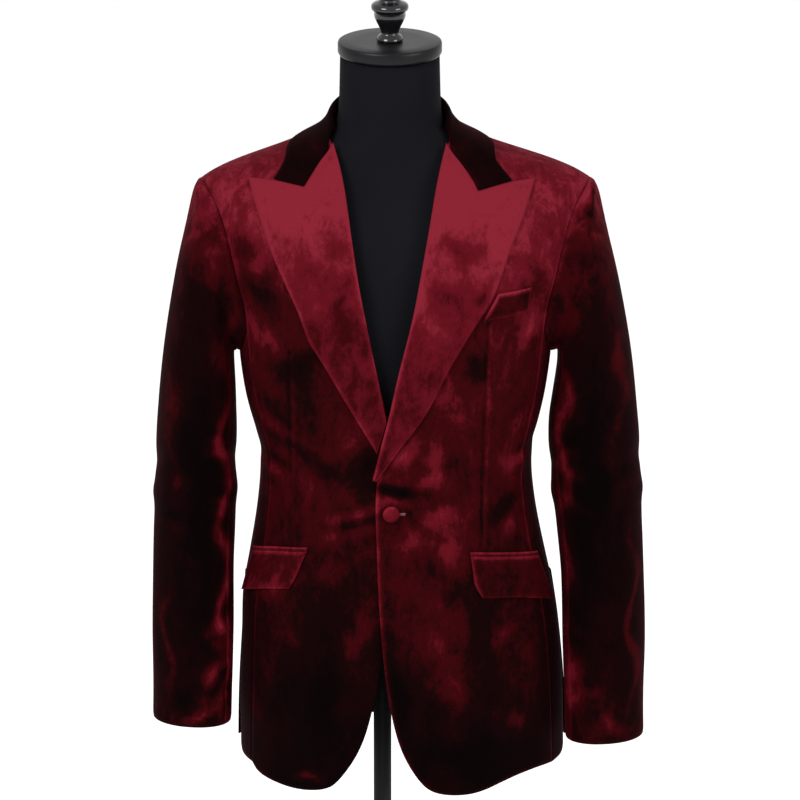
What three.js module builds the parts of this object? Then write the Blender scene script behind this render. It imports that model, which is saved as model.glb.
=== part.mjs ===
// Velvet blazer, single-breasted with peak lapels, worn on a limbless dress form.
// Millimetres, +Z up. The origin is on the floor under the form.
// The wearer faces -Y, so the wearer's left side is +X.
import * as THREE from 'three';

// Driving dimensions
const CLOTH = 2;
const SEAM_GAP = 0.3;
const HALF_CLOTH = CLOTH / 2;
const RESTING_LIFT = CLOTH + SEAM_GAP + 0.1;
const OVERLAP_LIFT = 3.4;
const LAPEL_LIFT = 3.7;
const COLLAR_LIFT = 4.8;
const VENT_LIFT = 5.4;
const SHOULDER_HEIGHT = 1411;
const NECK_SEAM_HEIGHT = 1475;
const SIDE_HEM_HEIGHT = 708;
const BACK_HEM_HEIGHT = 700;
const BUTTON_HEIGHT = 1035;
const BUTTON_SIDEWAYS = 4.4;
const BUTTON_RADIUS = 10;
const VENT_TOP_HEIGHT = 930;
const VENT_OVERLAP = 13;
const FRONT_SEAM_TURN = 25;
const BACK_SEAM_TURN = -27;
const SLEEVE_CENTRE = 12;
const FORM_HEM_HEIGHT = 880;
const NECK_RADIUS = 58.5;
const NECK_TOP_HEIGHT = 1556.5;
const NECK_TILT = 5;
const CAP_RADIUS = 60.8;
const CAP_THICKNESS = 16;
const POLE_RADIUS = 10.8;
const POLE_SIDEWAYS = -7;
const BASE_RADIUS = 190;
const BASE_THICKNESS = 12;

// Level sections of the body of the coat, from below the hem to the top of the collar.
// half is half the width, front and back are depths from the side line, shift moves the
// section to the wearer's left, lean moves it back, and power squares the oval.
const SECTIONS = [
  { height: 640, half: 197, front: 136, back: 136, power: 2.35, shift: 17, lean: 0 },
  { height: 689, half: 196, front: 137, back: 137, power: 2.35, shift: 17, lean: 0 },
  { height: 780, half: 194, front: 137, back: 137, power: 2.35, shift: 16, lean: 0 },
  { height: 857, half: 190, front: 135, back: 136, power: 2.35, shift: 15, lean: 0 },
  { height: 900, half: 187, front: 133, back: 134, power: 2.3, shift: 12.5, lean: 0 },
  { height: 962, half: 175.5, front: 128, back: 124, power: 2.3, shift: 11, lean: 0 },
  { height: 1014, half: 166, front: 123, back: 114, power: 2.25, shift: 10, lean: 0 },
  { height: 1067, half: 161, front: 120, back: 110, power: 2.25, shift: 9.5, lean: 0 },
  { height: 1102, half: 165, front: 122, back: 111, power: 2.25, shift: 9.5, lean: 0 },
  { height: 1127, half: 172, front: 124, back: 114, power: 2.3, shift: 9, lean: 1 },
  { height: 1152, half: 178, front: 127, back: 119, power: 2.35, shift: 8.5, lean: 2 },
  { height: 1187, half: 183, front: 131, back: 126, power: 2.4, shift: 8.5, lean: 3 },
  { height: 1247, half: 189, front: 134, back: 134, power: 2.4, shift: 9, lean: 4 },
  { height: 1296, half: 203, front: 132, back: 138, power: 2.4, shift: 9.5, lean: 5 },
  { height: 1338, half: 214, front: 124, back: 137, power: 2.4, shift: 9.5, lean: 6 },
  { height: 1385, half: 222, front: 108, back: 122, power: 2.35, shift: 9.5, lean: 7 },
  { height: 1411, half: 226, front: 92, back: 104, power: 2.25, shift: 9.5, lean: 8 },
  { height: 1426, half: 196, front: 84, back: 88, power: 2.15, shift: 8.5, lean: 7 },
  { height: 1437, half: 164, front: 78, back: 79, power: 2.1, shift: 7, lean: 6 },
  { height: 1448, half: 131, front: 74, back: 74, power: 2.05, shift: 5, lean: 5 },
  { height: 1460, half: 99, front: 71, back: 71, power: 2, shift: 3.5, lean: 4 },
  { height: 1475, half: 73, front: 67, back: 69, power: 2, shift: 2.4, lean: 4 },
  { height: 1492, half: 66, front: 58, back: 66, power: 2, shift: 2.4, lean: 4 },
  { height: 1520, half: 60, front: 50, back: 63, power: 2, shift: 2.4, lean: 4 },
];

// The largest folds of the body cloth, as soft ridges and troughs across its surface.
// wide is in degrees of turn and tall in millimetres.
const BODY_FOLDS = [
  { turn: 72, height: 700, wide: 9, tall: 150, rise: 2.5 },
  { turn: 50, height: 720, wide: 8, tall: 130, rise: -2.5 },
  { turn: 128, height: 710, wide: 9, tall: 150, rise: -2.5 },
  { turn: 108, height: 700, wide: 8, tall: 140, rise: 2 },
  { turn: 66, height: 1050, wide: 16, tall: 13, rise: -1.6 },
  { turn: 116, height: 1056, wide: 16, tall: 13, rise: -1.6 },
  { turn: 8, height: 1085, wide: 22, tall: 16, rise: -2 },
  { turn: 172, height: 1090, wide: 22, tall: 16, rise: -2 },
  { turn: -58, height: 1080, wide: 20, tall: 18, rise: -2.5 },
  { turn: 238, height: 1092, wide: 20, tall: 18, rise: -2.5 },
  { turn: -64, height: 1330, wide: 10, tall: 60, rise: 2.5 },
  { turn: 244, height: 1322, wide: 10, tall: 60, rise: 2.5 },
  { turn: -62, height: 720, wide: 10, tall: 160, rise: 3 },
  { turn: 240, height: 730, wide: 11, tall: 160, rise: 3 },
];

// The armhole seam seen from the side. around runs from the top through the front.
const ARMHOLE = [
  { around: 0, depth: 8, height: SHOULDER_HEIGHT },
  { around: 20, depth: -20, height: 1403 },
  { around: 40, depth: -43, height: 1382 },
  { around: 60, depth: -57, height: 1352 },
  { around: 80, depth: -64, height: 1315 },
  { around: 100, depth: -65, height: 1278 },
  { around: 120, depth: -62, height: 1245 },
  { around: 140, depth: -50, height: 1221 },
  { around: 160, depth: -25, height: 1207 },
  { around: 180, depth: 5, height: 1202 },
  { around: 200, depth: 37, height: 1208 },
  { around: 220, depth: 63, height: 1229 },
  { around: 240, depth: 76, height: 1257 },
  { around: 260, depth: 80, height: 1290 },
  { around: 280, depth: 79, height: 1322 },
  { around: 300, depth: 72, height: 1354 },
  { around: 320, depth: 57, height: 1381 },
  { around: 340, depth: 34, height: 1400 },
  { around: 360, depth: 8, height: SHOULDER_HEIGHT },
];
const ARMHOLE_GAP = 1;
const FRONT_SEAM_AROUND = 122;
const BACK_SEAM_AROUND = 236;

// Rings of a sleeve below the armhole. out and in are distances from the sleeves' centre
// line to the outer and the inner edge, each with its height, and the reaches are depths.
const SLEEVE_RINGS = [
  { along: 0.02, out: 233.5, outHeight: 1407, in: 189, inHeight: 1203, front: -69, back: 85 },
  { along: 0.07, out: 238, outHeight: 1390, in: 191, inHeight: 1202, front: -73, back: 87 },
  { along: 0.14, out: 248, outHeight: 1352, in: 192, inHeight: 1196, front: -77, back: 86 },
  { along: 0.22, out: 260, outHeight: 1305, in: 192, inHeight: 1186, front: -79, back: 82 },
  { along: 0.3, out: 271, outHeight: 1247, in: 191, inHeight: 1171, front: -80, back: 76 },
  { along: 0.37, out: 279, outHeight: 1196, in: 190, inHeight: 1149, front: -79, back: 71 },
  { along: 0.45, out: 284, outHeight: 1144, in: 190, inHeight: 1120, front: -78, back: 66 },
  { along: 0.54, out: 288, outHeight: 1085, in: 191, inHeight: 1074, front: -78, back: 60 },
  { along: 0.63, out: 290, outHeight: 1023, in: 193, inHeight: 1018, front: -79, back: 53 },
  { along: 0.71, out: 292, outHeight: 965, in: 196, inHeight: 961, front: -81, back: 45 },
  { along: 0.8, out: 293, outHeight: 900, in: 198, inHeight: 896, front: -85, back: 32 },
  { along: 0.9, out: 294, outHeight: 832, in: 199, inHeight: 828, front: -90, back: 15 },
  { along: 1, out: 294, outHeight: 764, in: 201, inHeight: 758, front: -94, back: -7 },
];

// The largest folds of a sleeve, placed round it and along it.
const SLEEVE_FOLDS = [
  { around: 120, along: 0.66, wide: 45, tall: 0.02, rise: -3 },
  { around: 150, along: 0.72, wide: 40, tall: 0.018, rise: -2.5 },
  { around: 105, along: 0.59, wide: 40, tall: 0.02, rise: -2 },
  { around: 40, along: 0.93, wide: 40, tall: 0.02, rise: -2.2 },
  { around: 300, along: 0.3, wide: 22, tall: 0.12, rise: -3 },
  { around: 255, along: 0.66, wide: 35, tall: 0.05, rise: 2.5 },
];

// The two sides differ a little, as worn. lower drops the cuff, forward swings the arm,
// fuller moves the inner edge of the sleeve in.
const SIDES = {
  left: { sign: 1, lower: 17, forward: -12, fuller: 11 },
  right: { sign: -1, lower: 0, forward: 0, fuller: -2 },
};

// The edge of each front from the hem's curve up to the neck, as sideways and height.
const FRONT_EDGES = {
  left: [
    [40, 702], [30, 713], [14, 746], [4, 791], [-3, 836], [-7, 880], [-11, 943], [-13, 1011],
    [-15, 1045], [-13, 1082], [-3, 1117], [5, 1149], [18, 1205], [33, 1269], [43, 1320], [60, 1405],
    [69, 1450],
  ],
  right: [
    [-60, 704], [-51, 714], [-37, 735], [-26, 763], [-18, 796], [-6, 865], [6, 930], [17, 990],
    [21, 1035], [20, 1075], [8, 1117], [-2, 1161], [-17, 1221], [-30, 1269], [-41, 1323], [-54, 1400],
    [-64, 1450],
  ],
};

// The hem of each front, from the curve to the side seam.
const FRONT_HEMS = {
  left: [[40, 702], [54, 693.5], [75, 690], [104, 691], [139, 701], [174, 709]],
  right: [[-60, 704], [-74, 695.5], [-94, 691], [-113, 690], [-137, 694], [-158, 701]],
};

// Lapels: the roll edge upwards, the outer edge upwards to the peak, and the top edge
// from the neck down the gorge seam, round the notch and out to the peak.
const LAPELS = {
  left: {
    roll: [[-17, 1077], [-8, 1117], [0, 1149], [12, 1205], [28, 1269], [38, 1320], [54, 1405], [61, 1440], [66, 1460]],
    edge: [[-13, 1075], [12, 1113], [35, 1144], [49, 1167], [73, 1215], [103, 1265], [122, 1296], [142, 1350],
      [152, 1372], [170, 1419]],
    top: [[66, 1460], [73, 1449], [82, 1441], [98, 1422], [104, 1410], [142, 1418], [170, 1419]],
  },
  right: {
    roll: [[-1, 1146], [-12, 1205], [-24, 1265], [-35, 1323], [-47, 1400], [-55, 1440], [-61, 1460]],
    edge: [[-12, 1108], [-47, 1169], [-76, 1220], [-91, 1243], [-98, 1266], [-134, 1345], [-150, 1389], [-161, 1419]],
    top: [[-61, 1460], [-68, 1449], [-76, 1442], [-89, 1424], [-96, 1414], [-130, 1419], [-161, 1419]],
  },
};
const LAPEL_TOP_SHARES = [0, 0.08, 0.2, 0.35, 0.45, 0.75, 1];
const COLLAR_END_SHARES = [0, 0.18, 0.35, 0.6, 0.72, 1];
const LAPEL_ROLL_RISE = 2.2;
const LAPEL_ROLL_REACH = 9;

// The collar: its crest and its outer edge from the centre back to the gorge, as turn
// and height. The gorge end itself repeats the top edge of the lapel.
const COLLAR_SEAM = [[-90, 1475.5], [-45, 1475.5], [0, 1475.5], [14, 1475.5], [27, 1473]];
const COLLAR_CREST = [[-90, 1512], [-45, 1507], [0, 1493], [14, 1486], [27, 1476]];
const COLLAR_EDGE = [[-90, 1462], [-45, 1460], [0, 1455]];
const COLLAR_EDGE_FRONT = { left: [[125, 1436], [142, 1418]], right: [[-118, 1436], [-130, 1419]] };
const COLLAR_FOLD_LIFT = 4.6;
const COLLAR_END_FADE = 3;

// Pockets on the fronts, as sideways and height.
const BREAST_WELT = { top: [[127, 1297], [166, 1300]], foot: [[110, 1265.5], [162, 1272]] };
const FLAPS = {
  left: {
    top: [[96, 986], [140, 979], [176, 968]],
    foot: [[101, 945], [109, 930], [150, 925], [190, 908]],
    welt: 5,
  },
  right: {
    top: [[-94, 989], [-130, 983], [-158, 971]],
    foot: [[-108, 950], [-115, 937], [-144, 930], [-168, 916]],
    welt: 5,
  },
};

// Finishes
const finish = (color, roughness) => new THREE.MeshStandardMaterial({ color, roughness, metalness: 0 });
const VELVET = finish(0x5a0c19, 0.85);
const VELVET_LIGHT = finish(0x86202f, 0.8);
const VELVET_DARK = finish(0x2a0509, 0.85);
const FORM_COVER = finish(0x1c1c21, 0.8);
const GLOSS_BLACK = finish(0x0a0a0b, 0.15);
const SATIN_BLACK = finish(0x2b2725, 0.35);
const POLE_BLACK = finish(0x1c1c1c, 0.5);

const group = new THREE.Group();

// Number helpers
const clamp = (value, low, high) => Math.min(Math.max(value, low), high);
const mix = (a, b, t) => a + (b - a) * t;
const ease = (t) => clamp(t, 0, 1) ** 2 * (3 - 2 * clamp(t, 0, 1));
const radians = (degrees) => (degrees * Math.PI) / 180;
const degrees = (angle) => (angle * 180) / Math.PI;
const steps = (count) => Array.from({ length: count + 1 }, (_, index) => index / count);

// Slope at one row of a table that never overshoots its neighbours.
function rowSlope(table, index, position, column) {
  const before = table[index - 1];
  const here = table[index];
  const after = table[index + 1];
  if (!before || !after) return 0;
  const left = (here[column] - before[column]) / (here[position] - before[position]);
  const right = (after[column] - here[column]) / (after[position] - here[position]);
  return left * right <= 0 ? 0 : (2 * left * right) / (left + right);
}

// A column of a table, read smoothly at any position.
function readTable(table, position, column, value) {
  const at = clamp(value, table[0][position], table[table.length - 1][position]);
  let index = 0;
  while (index < table.length - 2 && at > table[index + 1][position]) index += 1;
  const low = table[index];
  const high = table[index + 1];
  const span = high[position] - low[position];
  const t = (at - low[position]) / span;
  const startSlope = rowSlope(table, index, position, column) * span;
  const endSlope = rowSlope(table, index + 1, position, column) * span;
  const rise = high[column] - low[column];
  return low[column] + t * (startSlope + t * (3 * rise - 2 * startSlope - endSlope
    + t * (startSlope + endSlope - 2 * rise)));
}

function section(height) {
  const row = {};
  for (const column of ['half', 'front', 'back', 'power', 'shift', 'lean']) {
    row[column] = readTable(SECTIONS, 'height', column, height);
  }
  return row;
}

// The body surface. turn 0 is the wearer's left side, 90 the front, 180 the right side.
function smoothBody(turn, height) {
  const level = section(height);
  const across = Math.cos(radians(turn));
  const forward = Math.sin(radians(turn));
  const depth = forward > 0 ? level.front : level.back;
  const bend = 2 / level.power;
  return new THREE.Vector3(
    level.shift + level.half * Math.sign(across) * Math.abs(across) ** bend,
    level.lean - depth * Math.sign(forward) * Math.abs(forward) ** bend,
    height,
  );
}

function bodyNormal(turn, height) {
  const sideStep = smoothBody(turn + 0.8, height).sub(smoothBody(turn - 0.8, height));
  const upStep = smoothBody(turn, height + 1.5).sub(smoothBody(turn, height - 1.5));
  return upStep.cross(sideStep).normalize();
}

function bump(offset, reach) {
  return Math.exp(-((offset / reach) ** 2));
}

function bodyFold(turn, height) {
  let rise = 0;
  for (const fold of BODY_FOLDS) {
    const away = ((turn - fold.turn + 540) % 360) - 180;
    rise += fold.rise * bump(away, fold.wide) * bump(height - fold.height, fold.tall);
  }
  return rise;
}

// A spot of cloth: a point of the body surface, lifted, with the outward direction.
function bodySpot(turn, height, lift = 0) {
  const normal = bodyNormal(turn, height);
  const point = smoothBody(turn, height).addScaledVector(normal, lift + bodyFold(turn, height));
  return { point, normal };
}

// The turn at which the front of the body reaches a sideways place.
function turnAt(sideways, height) {
  const level = section(height);
  const share = clamp(Math.abs(sideways - level.shift) / level.half, 0, 1);
  const turn = degrees(Math.acos(share ** (level.power / 2)));
  return sideways > level.shift ? turn : 180 - turn;
}

// The turn, on the wearer's left, at which the body reaches a depth.
function turnAtDepth(depth, height) {
  const level = section(height);
  const ahead = level.lean - depth;
  const reach = ahead > 0 ? level.front : level.back;
  const turn = degrees(Math.asin(clamp(Math.abs(ahead) / reach, 0, 1) ** (level.power / 2)));
  return ahead > 0 ? turn : -turn;
}

const sideTurn = (side, turn) => (side.sign > 0 ? turn : 180 - turn);

function armholeSpot(side, around) {
  const place = ((around % 360) + 360) % 360;
  const depth = readTable(ARMHOLE, 'around', 'depth', place);
  const height = readTable(ARMHOLE, 'around', 'height', place);
  return [sideTurn(side, turnAtDepth(depth, height)), height];
}

// A smooth path through points of a flat chart. spread weighs the first coordinate.
function path(points, spread = 1) {
  const flat = points.map(([a, b]) => new THREE.Vector3(a * spread, b, 0));
  const curve = new THREE.CatmullRomCurve3(flat, false, 'centripetal');
  return (t) => {
    const spot = curve.getPointAt(clamp(t, 0, 1));
    return [spot.x / spread, spot.y];
  };
}

const MM_PER_TURN = 3;
const chartPath = (points) => path(points, MM_PER_TURN);
const frontPoints = (points) => points.map(([sideways, height]) => [turnAt(sideways, height), height]);

// A straight-cornered path: each leg keeps its share of the length.
function legs(points) {
  const lengths = [0];
  for (let index = 1; index < points.length; index += 1) {
    const [a, b] = points[index];
    const [c, d] = points[index - 1];
    lengths.push(lengths[index - 1] + Math.hypot((a - c) * MM_PER_TURN, b - d));
  }
  return (t) => {
    const at = clamp(t, 0, 1) * lengths[lengths.length - 1];
    let index = 1;
    while (index < lengths.length - 1 && at > lengths[index]) index += 1;
    const share = (at - lengths[index - 1]) / (lengths[index] - lengths[index - 1]);
    return [0, 1].map((axis) => mix(points[index - 1][axis], points[index][axis], share));
  };
}

// A path whose points are reached at stated shares, as [share, first, second].
function keyed(points) {
  return (t) => {
    let index = 1;
    while (index < points.length - 1 && t > points[index][0]) index += 1;
    const [low, high] = [points[index - 1], points[index]];
    const share = (clamp(t, low[0], high[0]) - low[0]) / (high[0] - low[0]);
    return [1, 2].map((axis) => mix(low[axis], high[axis], share));
  };
}

// A four-sided patch of the chart, filled in from its four edges.
function patch(foot, head, start, end) {
  return (u, v) => [0, 1].map((axis) => {
    const upright = mix(foot(u)[axis], head(u)[axis], v);
    const level = mix(start(v)[axis], end(v)[axis], u);
    const footLine = mix(start(0)[axis], end(0)[axis], u);
    const headLine = mix(start(1)[axis], end(1)[axis], u);
    return upright + level - mix(footLine, headLine, v);
  });
}

// A closed wall of cloth over a grid of spots.
function wall(rows, outer = HALF_CLOTH, inner = HALF_CLOTH) {
  const high = rows.length;
  const wide = rows[0].length;
  const positions = [];
  for (const reach of [outer, -inner]) {
    for (const row of rows) {
      for (const { point, normal } of row) {
        positions.push(...point.clone().addScaledVector(normal, reach).toArray());
      }
    }
  }
  const at = (layer, i, j) => layer * high * wide + i * wide + j;
  const faces = [];
  const quad = (a, b, c, d) => faces.push(a, b, c, a, c, d);
  for (let i = 0; i < high - 1; i += 1) {
    for (let j = 0; j < wide - 1; j += 1) {
      quad(at(0, i, j), at(0, i, j + 1), at(0, i + 1, j + 1), at(0, i + 1, j));
      quad(at(1, i, j), at(1, i + 1, j), at(1, i + 1, j + 1), at(1, i, j + 1));
    }
    quad(at(0, i, 0), at(0, i + 1, 0), at(1, i + 1, 0), at(1, i, 0));
    quad(at(0, i, wide - 1), at(1, i, wide - 1), at(1, i + 1, wide - 1), at(0, i + 1, wide - 1));
  }
  for (let j = 0; j < wide - 1; j += 1) {
    quad(at(0, 0, j), at(1, 0, j), at(1, 0, j + 1), at(0, 0, j + 1));
    quad(at(0, high - 1, j), at(0, high - 1, j + 1), at(1, high - 1, j + 1), at(1, high - 1, j));
  }
  return closedGeometry(positions, faces);
}

// Turns the faces the right way out and makes the geometry.
function closedGeometry(positions, faces) {
  let volume = 0;
  const corner = (index) => new THREE.Vector3().fromArray(positions, index * 3);
  for (let index = 0; index < faces.length; index += 3) {
    const [a, b, c] = [0, 1, 2].map((step) => corner(faces[index + step]));
    volume += a.dot(b.cross(c));
  }
  const ordered = volume > 0 ? faces : faces.slice().reverse();
  const geometry = new THREE.BufferGeometry();
  geometry.setAttribute('position', new THREE.Float32BufferAttribute(positions, 3));
  geometry.setIndex(ordered);
  geometry.computeVertexNormals();
  return geometry;
}

function add(name, geometry, material) {
  const mesh = new THREE.Mesh(geometry, material);
  mesh.name = name;
  group.add(mesh);
  return mesh;
}

// Cloth over a patch of the body. lift may change over the patch.
function bodyCloth(chart, us, vs, lift = () => 0) {
  return wall(vs.map((v) => us.map((u) => {
    const [turn, height] = chart(u, v);
    return bodySpot(turn, height, lift(turn, height, u, v));
  })));
}

// The left front laps over the right one below the lapels.
function frontOverlap(turn, height) {
  const sideways = smoothBody(turn, height).x;
  const across = 1 - ease((sideways - 28) / 55);
  const upright = ease((height - 760) / 90) * (1 - ease((height - 1170) / 90));
  return OVERLAP_LIFT * across * upright;
}

const SEAM_TURN = (SEAM_GAP * 0.95) / 2.7;
const SHOULDER_TURN = 0.3;

// Rows of the fronts and backs, closer together beside the armhole.
const BODY_PLACES = [...steps(12).map((t) => t * 0.56), ...steps(16).slice(1).map((t) => mix(0.56, 1, t))];
const BACK_SHARES = { foot: 0.22, vent: 0.25, lifted: 0.29, armhole: 0.55, shoulder: 0.82 };
const BACK_PLACES = [...steps(5).map((t) => t * BACK_SHARES.foot), BACK_SHARES.vent,
  ...steps(8).map((t) => mix(BACK_SHARES.lifted, BACK_SHARES.armhole, t)),
  ...steps(10).slice(1).map((t) => mix(BACK_SHARES.armhole, BACK_SHARES.shoulder, t)),
  ...steps(4).slice(1).map((t) => mix(BACK_SHARES.shoulder, 1, t))];
const BACK_SHOULDER_LEVEL = 1408;

// A side seam is straight on the chart, from the hem up to the armhole.
function seamSpot(side, hemTurn, around, height) {
  const top = armholeSpot(SIDES.left, around);
  const share = (height - SIDE_HEM_HEIGHT) / (top[1] - SIDE_HEM_HEIGHT);
  return [sideTurn(side, mix(hemTurn, top[0], share)), height];
}

function makeFront(side, label) {
  const seamTurn = sideTurn(side, FRONT_SEAM_TURN + SEAM_TURN);
  const neck = [sideTurn(side, SHOULDER_TURN + 10), NECK_SEAM_HEIGHT - 0.2];
  const shoulder = [sideTurn(side, SHOULDER_TURN), SHOULDER_HEIGHT];
  const edge = chartPath([...frontPoints(FRONT_EDGES[label]), neck]);
  const foot = chartPath([...frontPoints(FRONT_HEMS[label]), [seamTurn, SIDE_HEM_HEIGHT]]);
  const head = legs([neck, [sideTurn(side, SHOULDER_TURN), NECK_SEAM_HEIGHT - 8], shoulder]);
  const armhole = steps(10).map((t) => armholeSpot(side, FRONT_SEAM_AROUND * (1 - t)));
  armhole[0][0] += side.sign * SEAM_TURN;
  armhole[10] = shoulder;
  const sideEdge = legs([[seamTurn, SIDE_HEM_HEIGHT], ...armhole]);
  const chart = patch(foot, head, edge, sideEdge);
  const lift = label === 'left' ? frontOverlap : () => 0;
  add(`front_${label}`, bodyCloth(chart, steps(12), BODY_PLACES, lift), VELVET);
}

function makeSideBody(side, label) {
  const frontTurn = sideTurn(side, FRONT_SEAM_TURN - SEAM_TURN);
  const backTurn = sideTurn(side, BACK_SEAM_TURN + SEAM_TURN);
  const frontTop = armholeSpot(side, FRONT_SEAM_AROUND);
  const backTop = armholeSpot(side, BACK_SEAM_AROUND);
  frontTop[0] -= side.sign * SEAM_TURN;
  backTop[0] += side.sign * SEAM_TURN;
  const start = legs([[frontTurn, SIDE_HEM_HEIGHT], frontTop]);
  const end = legs([[backTurn, SIDE_HEM_HEIGHT], backTop]);
  const foot = legs([[frontTurn, SIDE_HEM_HEIGHT], [backTurn, SIDE_HEM_HEIGHT]]);
  const top = steps(6).map((t) => armholeSpot(side, mix(FRONT_SEAM_AROUND, BACK_SEAM_AROUND, t)));
  top[0] = frontTop;
  top[6] = backTop;
  const rowHeights = [
    ...steps(5).map((t) => mix(SIDE_HEM_HEIGHT, VENT_TOP_HEIGHT - 14, t)), VENT_TOP_HEIGHT,
    ...steps(8).map((t) => mix(VENT_TOP_HEIGHT + 28, backTop[1], t)),
  ];
  const rows = rowHeights.map((height) => (height - SIDE_HEM_HEIGHT) / (backTop[1] - SIDE_HEM_HEIGHT));
  add(`side_body_${label}`, bodyCloth(patch(foot, legs(top), start, end), steps(6), rows), VELVET);
}

// The back laps over the side body below the top of the side vent.
function ventLift(side) {
  return (turn, height) => {
    const own = side.sign > 0 ? turn : 180 - turn;
    const across = ease((own - BACK_SEAM_TURN + 14) / 9);
    const flare = mix(0, 5, ease((VENT_TOP_HEIGHT - height) / 220));
    const reach = ease((VENT_TOP_HEIGHT + 26 - height) / 22);
    return (VENT_LIFT * across + flare * ease((own - BACK_SEAM_TURN + 16) / 14)) * reach;
  };
}

function makeBack(side, label) {
  const ventTurn = sideTurn(side, BACK_SEAM_TURN + VENT_OVERLAP);
  const centreTurn = side.sign > 0 ? -90 + SEAM_TURN : 270 - SEAM_TURN;
  const shoulder = [sideTurn(side, -SHOULDER_TURN), SHOULDER_HEIGHT];
  const neck = [sideTurn(side, -SHOULDER_TURN), NECK_SEAM_HEIGHT - 0.2];
  const armhole = steps(10).map((t) => armholeSpot(side, mix(BACK_SEAM_AROUND, 360, t)));
  armhole[0][0] -= side.sign * SEAM_TURN;
  armhole[10] = shoulder;
  const ventFoot = [ventTurn, SIDE_HEM_HEIGHT - 3];
  const seam = [VENT_TOP_HEIGHT, VENT_TOP_HEIGHT + 28].map((height) => {
    const [turn] = seamSpot(side, BACK_SEAM_TURN, BACK_SEAM_AROUND, height);
    return [turn - side.sign * SEAM_TURN, height];
  });
  const armholeShare = (index) => mix(BACK_SHARES.armhole, BACK_SHARES.shoulder, index / 10);
  const edge = keyed([
    [0, ...ventFoot],
    [BACK_SHARES.foot, ventTurn, VENT_TOP_HEIGHT - 14],
    [BACK_SHARES.vent, ...seam[0]],
    [BACK_SHARES.lifted, ...seam[1]],
    ...armhole.map((spot, index) => [armholeShare(index), ...spot]),
    [1, ...neck],
  ]);
  const centreNeck = [centreTurn, NECK_SEAM_HEIGHT - 0.2];
  const centre = keyed([
    [0, centreTurn, BACK_HEM_HEIGHT],
    [BACK_SHARES.vent, centreTurn, VENT_TOP_HEIGHT],
    [BACK_SHARES.armhole, centreTurn, armhole[0][1]],
    [BACK_SHARES.shoulder, centreTurn, BACK_SHOULDER_LEVEL],
    [1, ...centreNeck],
  ]);
  const foot = legs([ventFoot, [centreTurn, BACK_HEM_HEIGHT]]);
  const head = legs([neck, centreNeck]);
  const chart = patch(foot, head, edge, centre);
  add(`back_${label}`, bodyCloth(chart, steps(10), BACK_PLACES, ventLift(side)), VELVET);
}

// A sleeve surface. around runs from the outside through the front; along runs down.
function sleevePoint(side, around, along) {
  const first = SLEEVE_RINGS[0].along;
  const ringPlace = Math.max(along, first);
  const read = (column) => readTable(SLEEVE_RINGS, 'along', column, ringPlace);
  const drop = side.lower * ease((along - 0.4) / 0.6);
  const swing = side.forward * ease((along - 0.4) / 0.6);
  const out = read('out');
  const inside = read('in') - side.fuller * bump(along - 0.5, 0.16);
  const outward = Math.cos(radians(around));
  const forward = Math.sin(radians(around));
  const share = (Math.sign(outward) * Math.abs(outward) ** 0.93 + 1) / 2;
  const centreDepth = (read('front') + read('back')) / 2;
  const halfDepth = (read('back') - read('front')) / 2;
  const ring = new THREE.Vector3(
    SLEEVE_CENTRE + side.sign * mix(inside, out, share) - (1 - ease((along - 0.1) / 0.5)) * 2.5,
    centreDepth - halfDepth * Math.sign(forward) * Math.abs(forward) ** 0.93 + swing,
    mix(read('inHeight'), read('outHeight'), share) - drop,
  );
  if (along >= first) return ring;
  const [turn, height] = armholeSpot(side, around);
  const start = smoothBody(turn, height);
  const normal = bodyNormal(turn, height);
  start.x += side.sign * (ARMHOLE_GAP + HALF_CLOTH * Math.abs(normal.x));
  return start.lerp(ring, along / first);
}

function sleeveSpot(side, around, along) {
  const down = Math.min(along + 0.004, 1);
  const up = Math.max(along - 0.004, 0);
  const aroundStep = sleevePoint(side, around + 1.5, along).sub(sleevePoint(side, around - 1.5, along));
  const alongStep = sleevePoint(side, around, down).sub(sleevePoint(side, around, up));
  const normal = alongStep.cross(aroundStep).normalize().multiplyScalar(-side.sign);
  let rise = 0;
  for (const fold of SLEEVE_FOLDS) {
    const away = ((around - fold.around + 540) % 360) - 180;
    rise += fold.rise * bump(away, fold.wide) * bump(along - fold.along, fold.tall);
  }
  return { point: sleevePoint(side, around, along).addScaledVector(normal, rise), normal };
}

const SLEEVE_FRONT_SEAM = 148;
const SLEEVE_BACK_SEAM = 262;
const SLEEVE_GAP = 0.14;
const SLEEVE_PLACES = [0, 0.02, 0.045, 0.08, 0.12, 0.17, 0.22, 0.28, 0.34, 0.4, 0.46, 0.52, 0.57, 0.61, 0.65,
  0.69, 0.73, 0.79, 0.86, 0.93, 1];

function makeSleeve(side, label) {
  const pieces = [
    { name: 'top_sleeve', from: SLEEVE_BACK_SEAM - 360, to: SLEEVE_FRONT_SEAM, count: 18 },
    { name: 'under_sleeve', from: SLEEVE_FRONT_SEAM, to: SLEEVE_BACK_SEAM, count: 9 },
  ];
  for (const piece of pieces) {
    const turns = steps(piece.count).map((t) => mix(piece.from + SLEEVE_GAP, piece.to - SLEEVE_GAP, t));
    const rows = SLEEVE_PLACES.map((along) => turns.map((around) => sleeveSpot(side, around, along)));
    add(`${piece.name}_${label}`, wall(rows), VELVET);
  }
}

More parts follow.
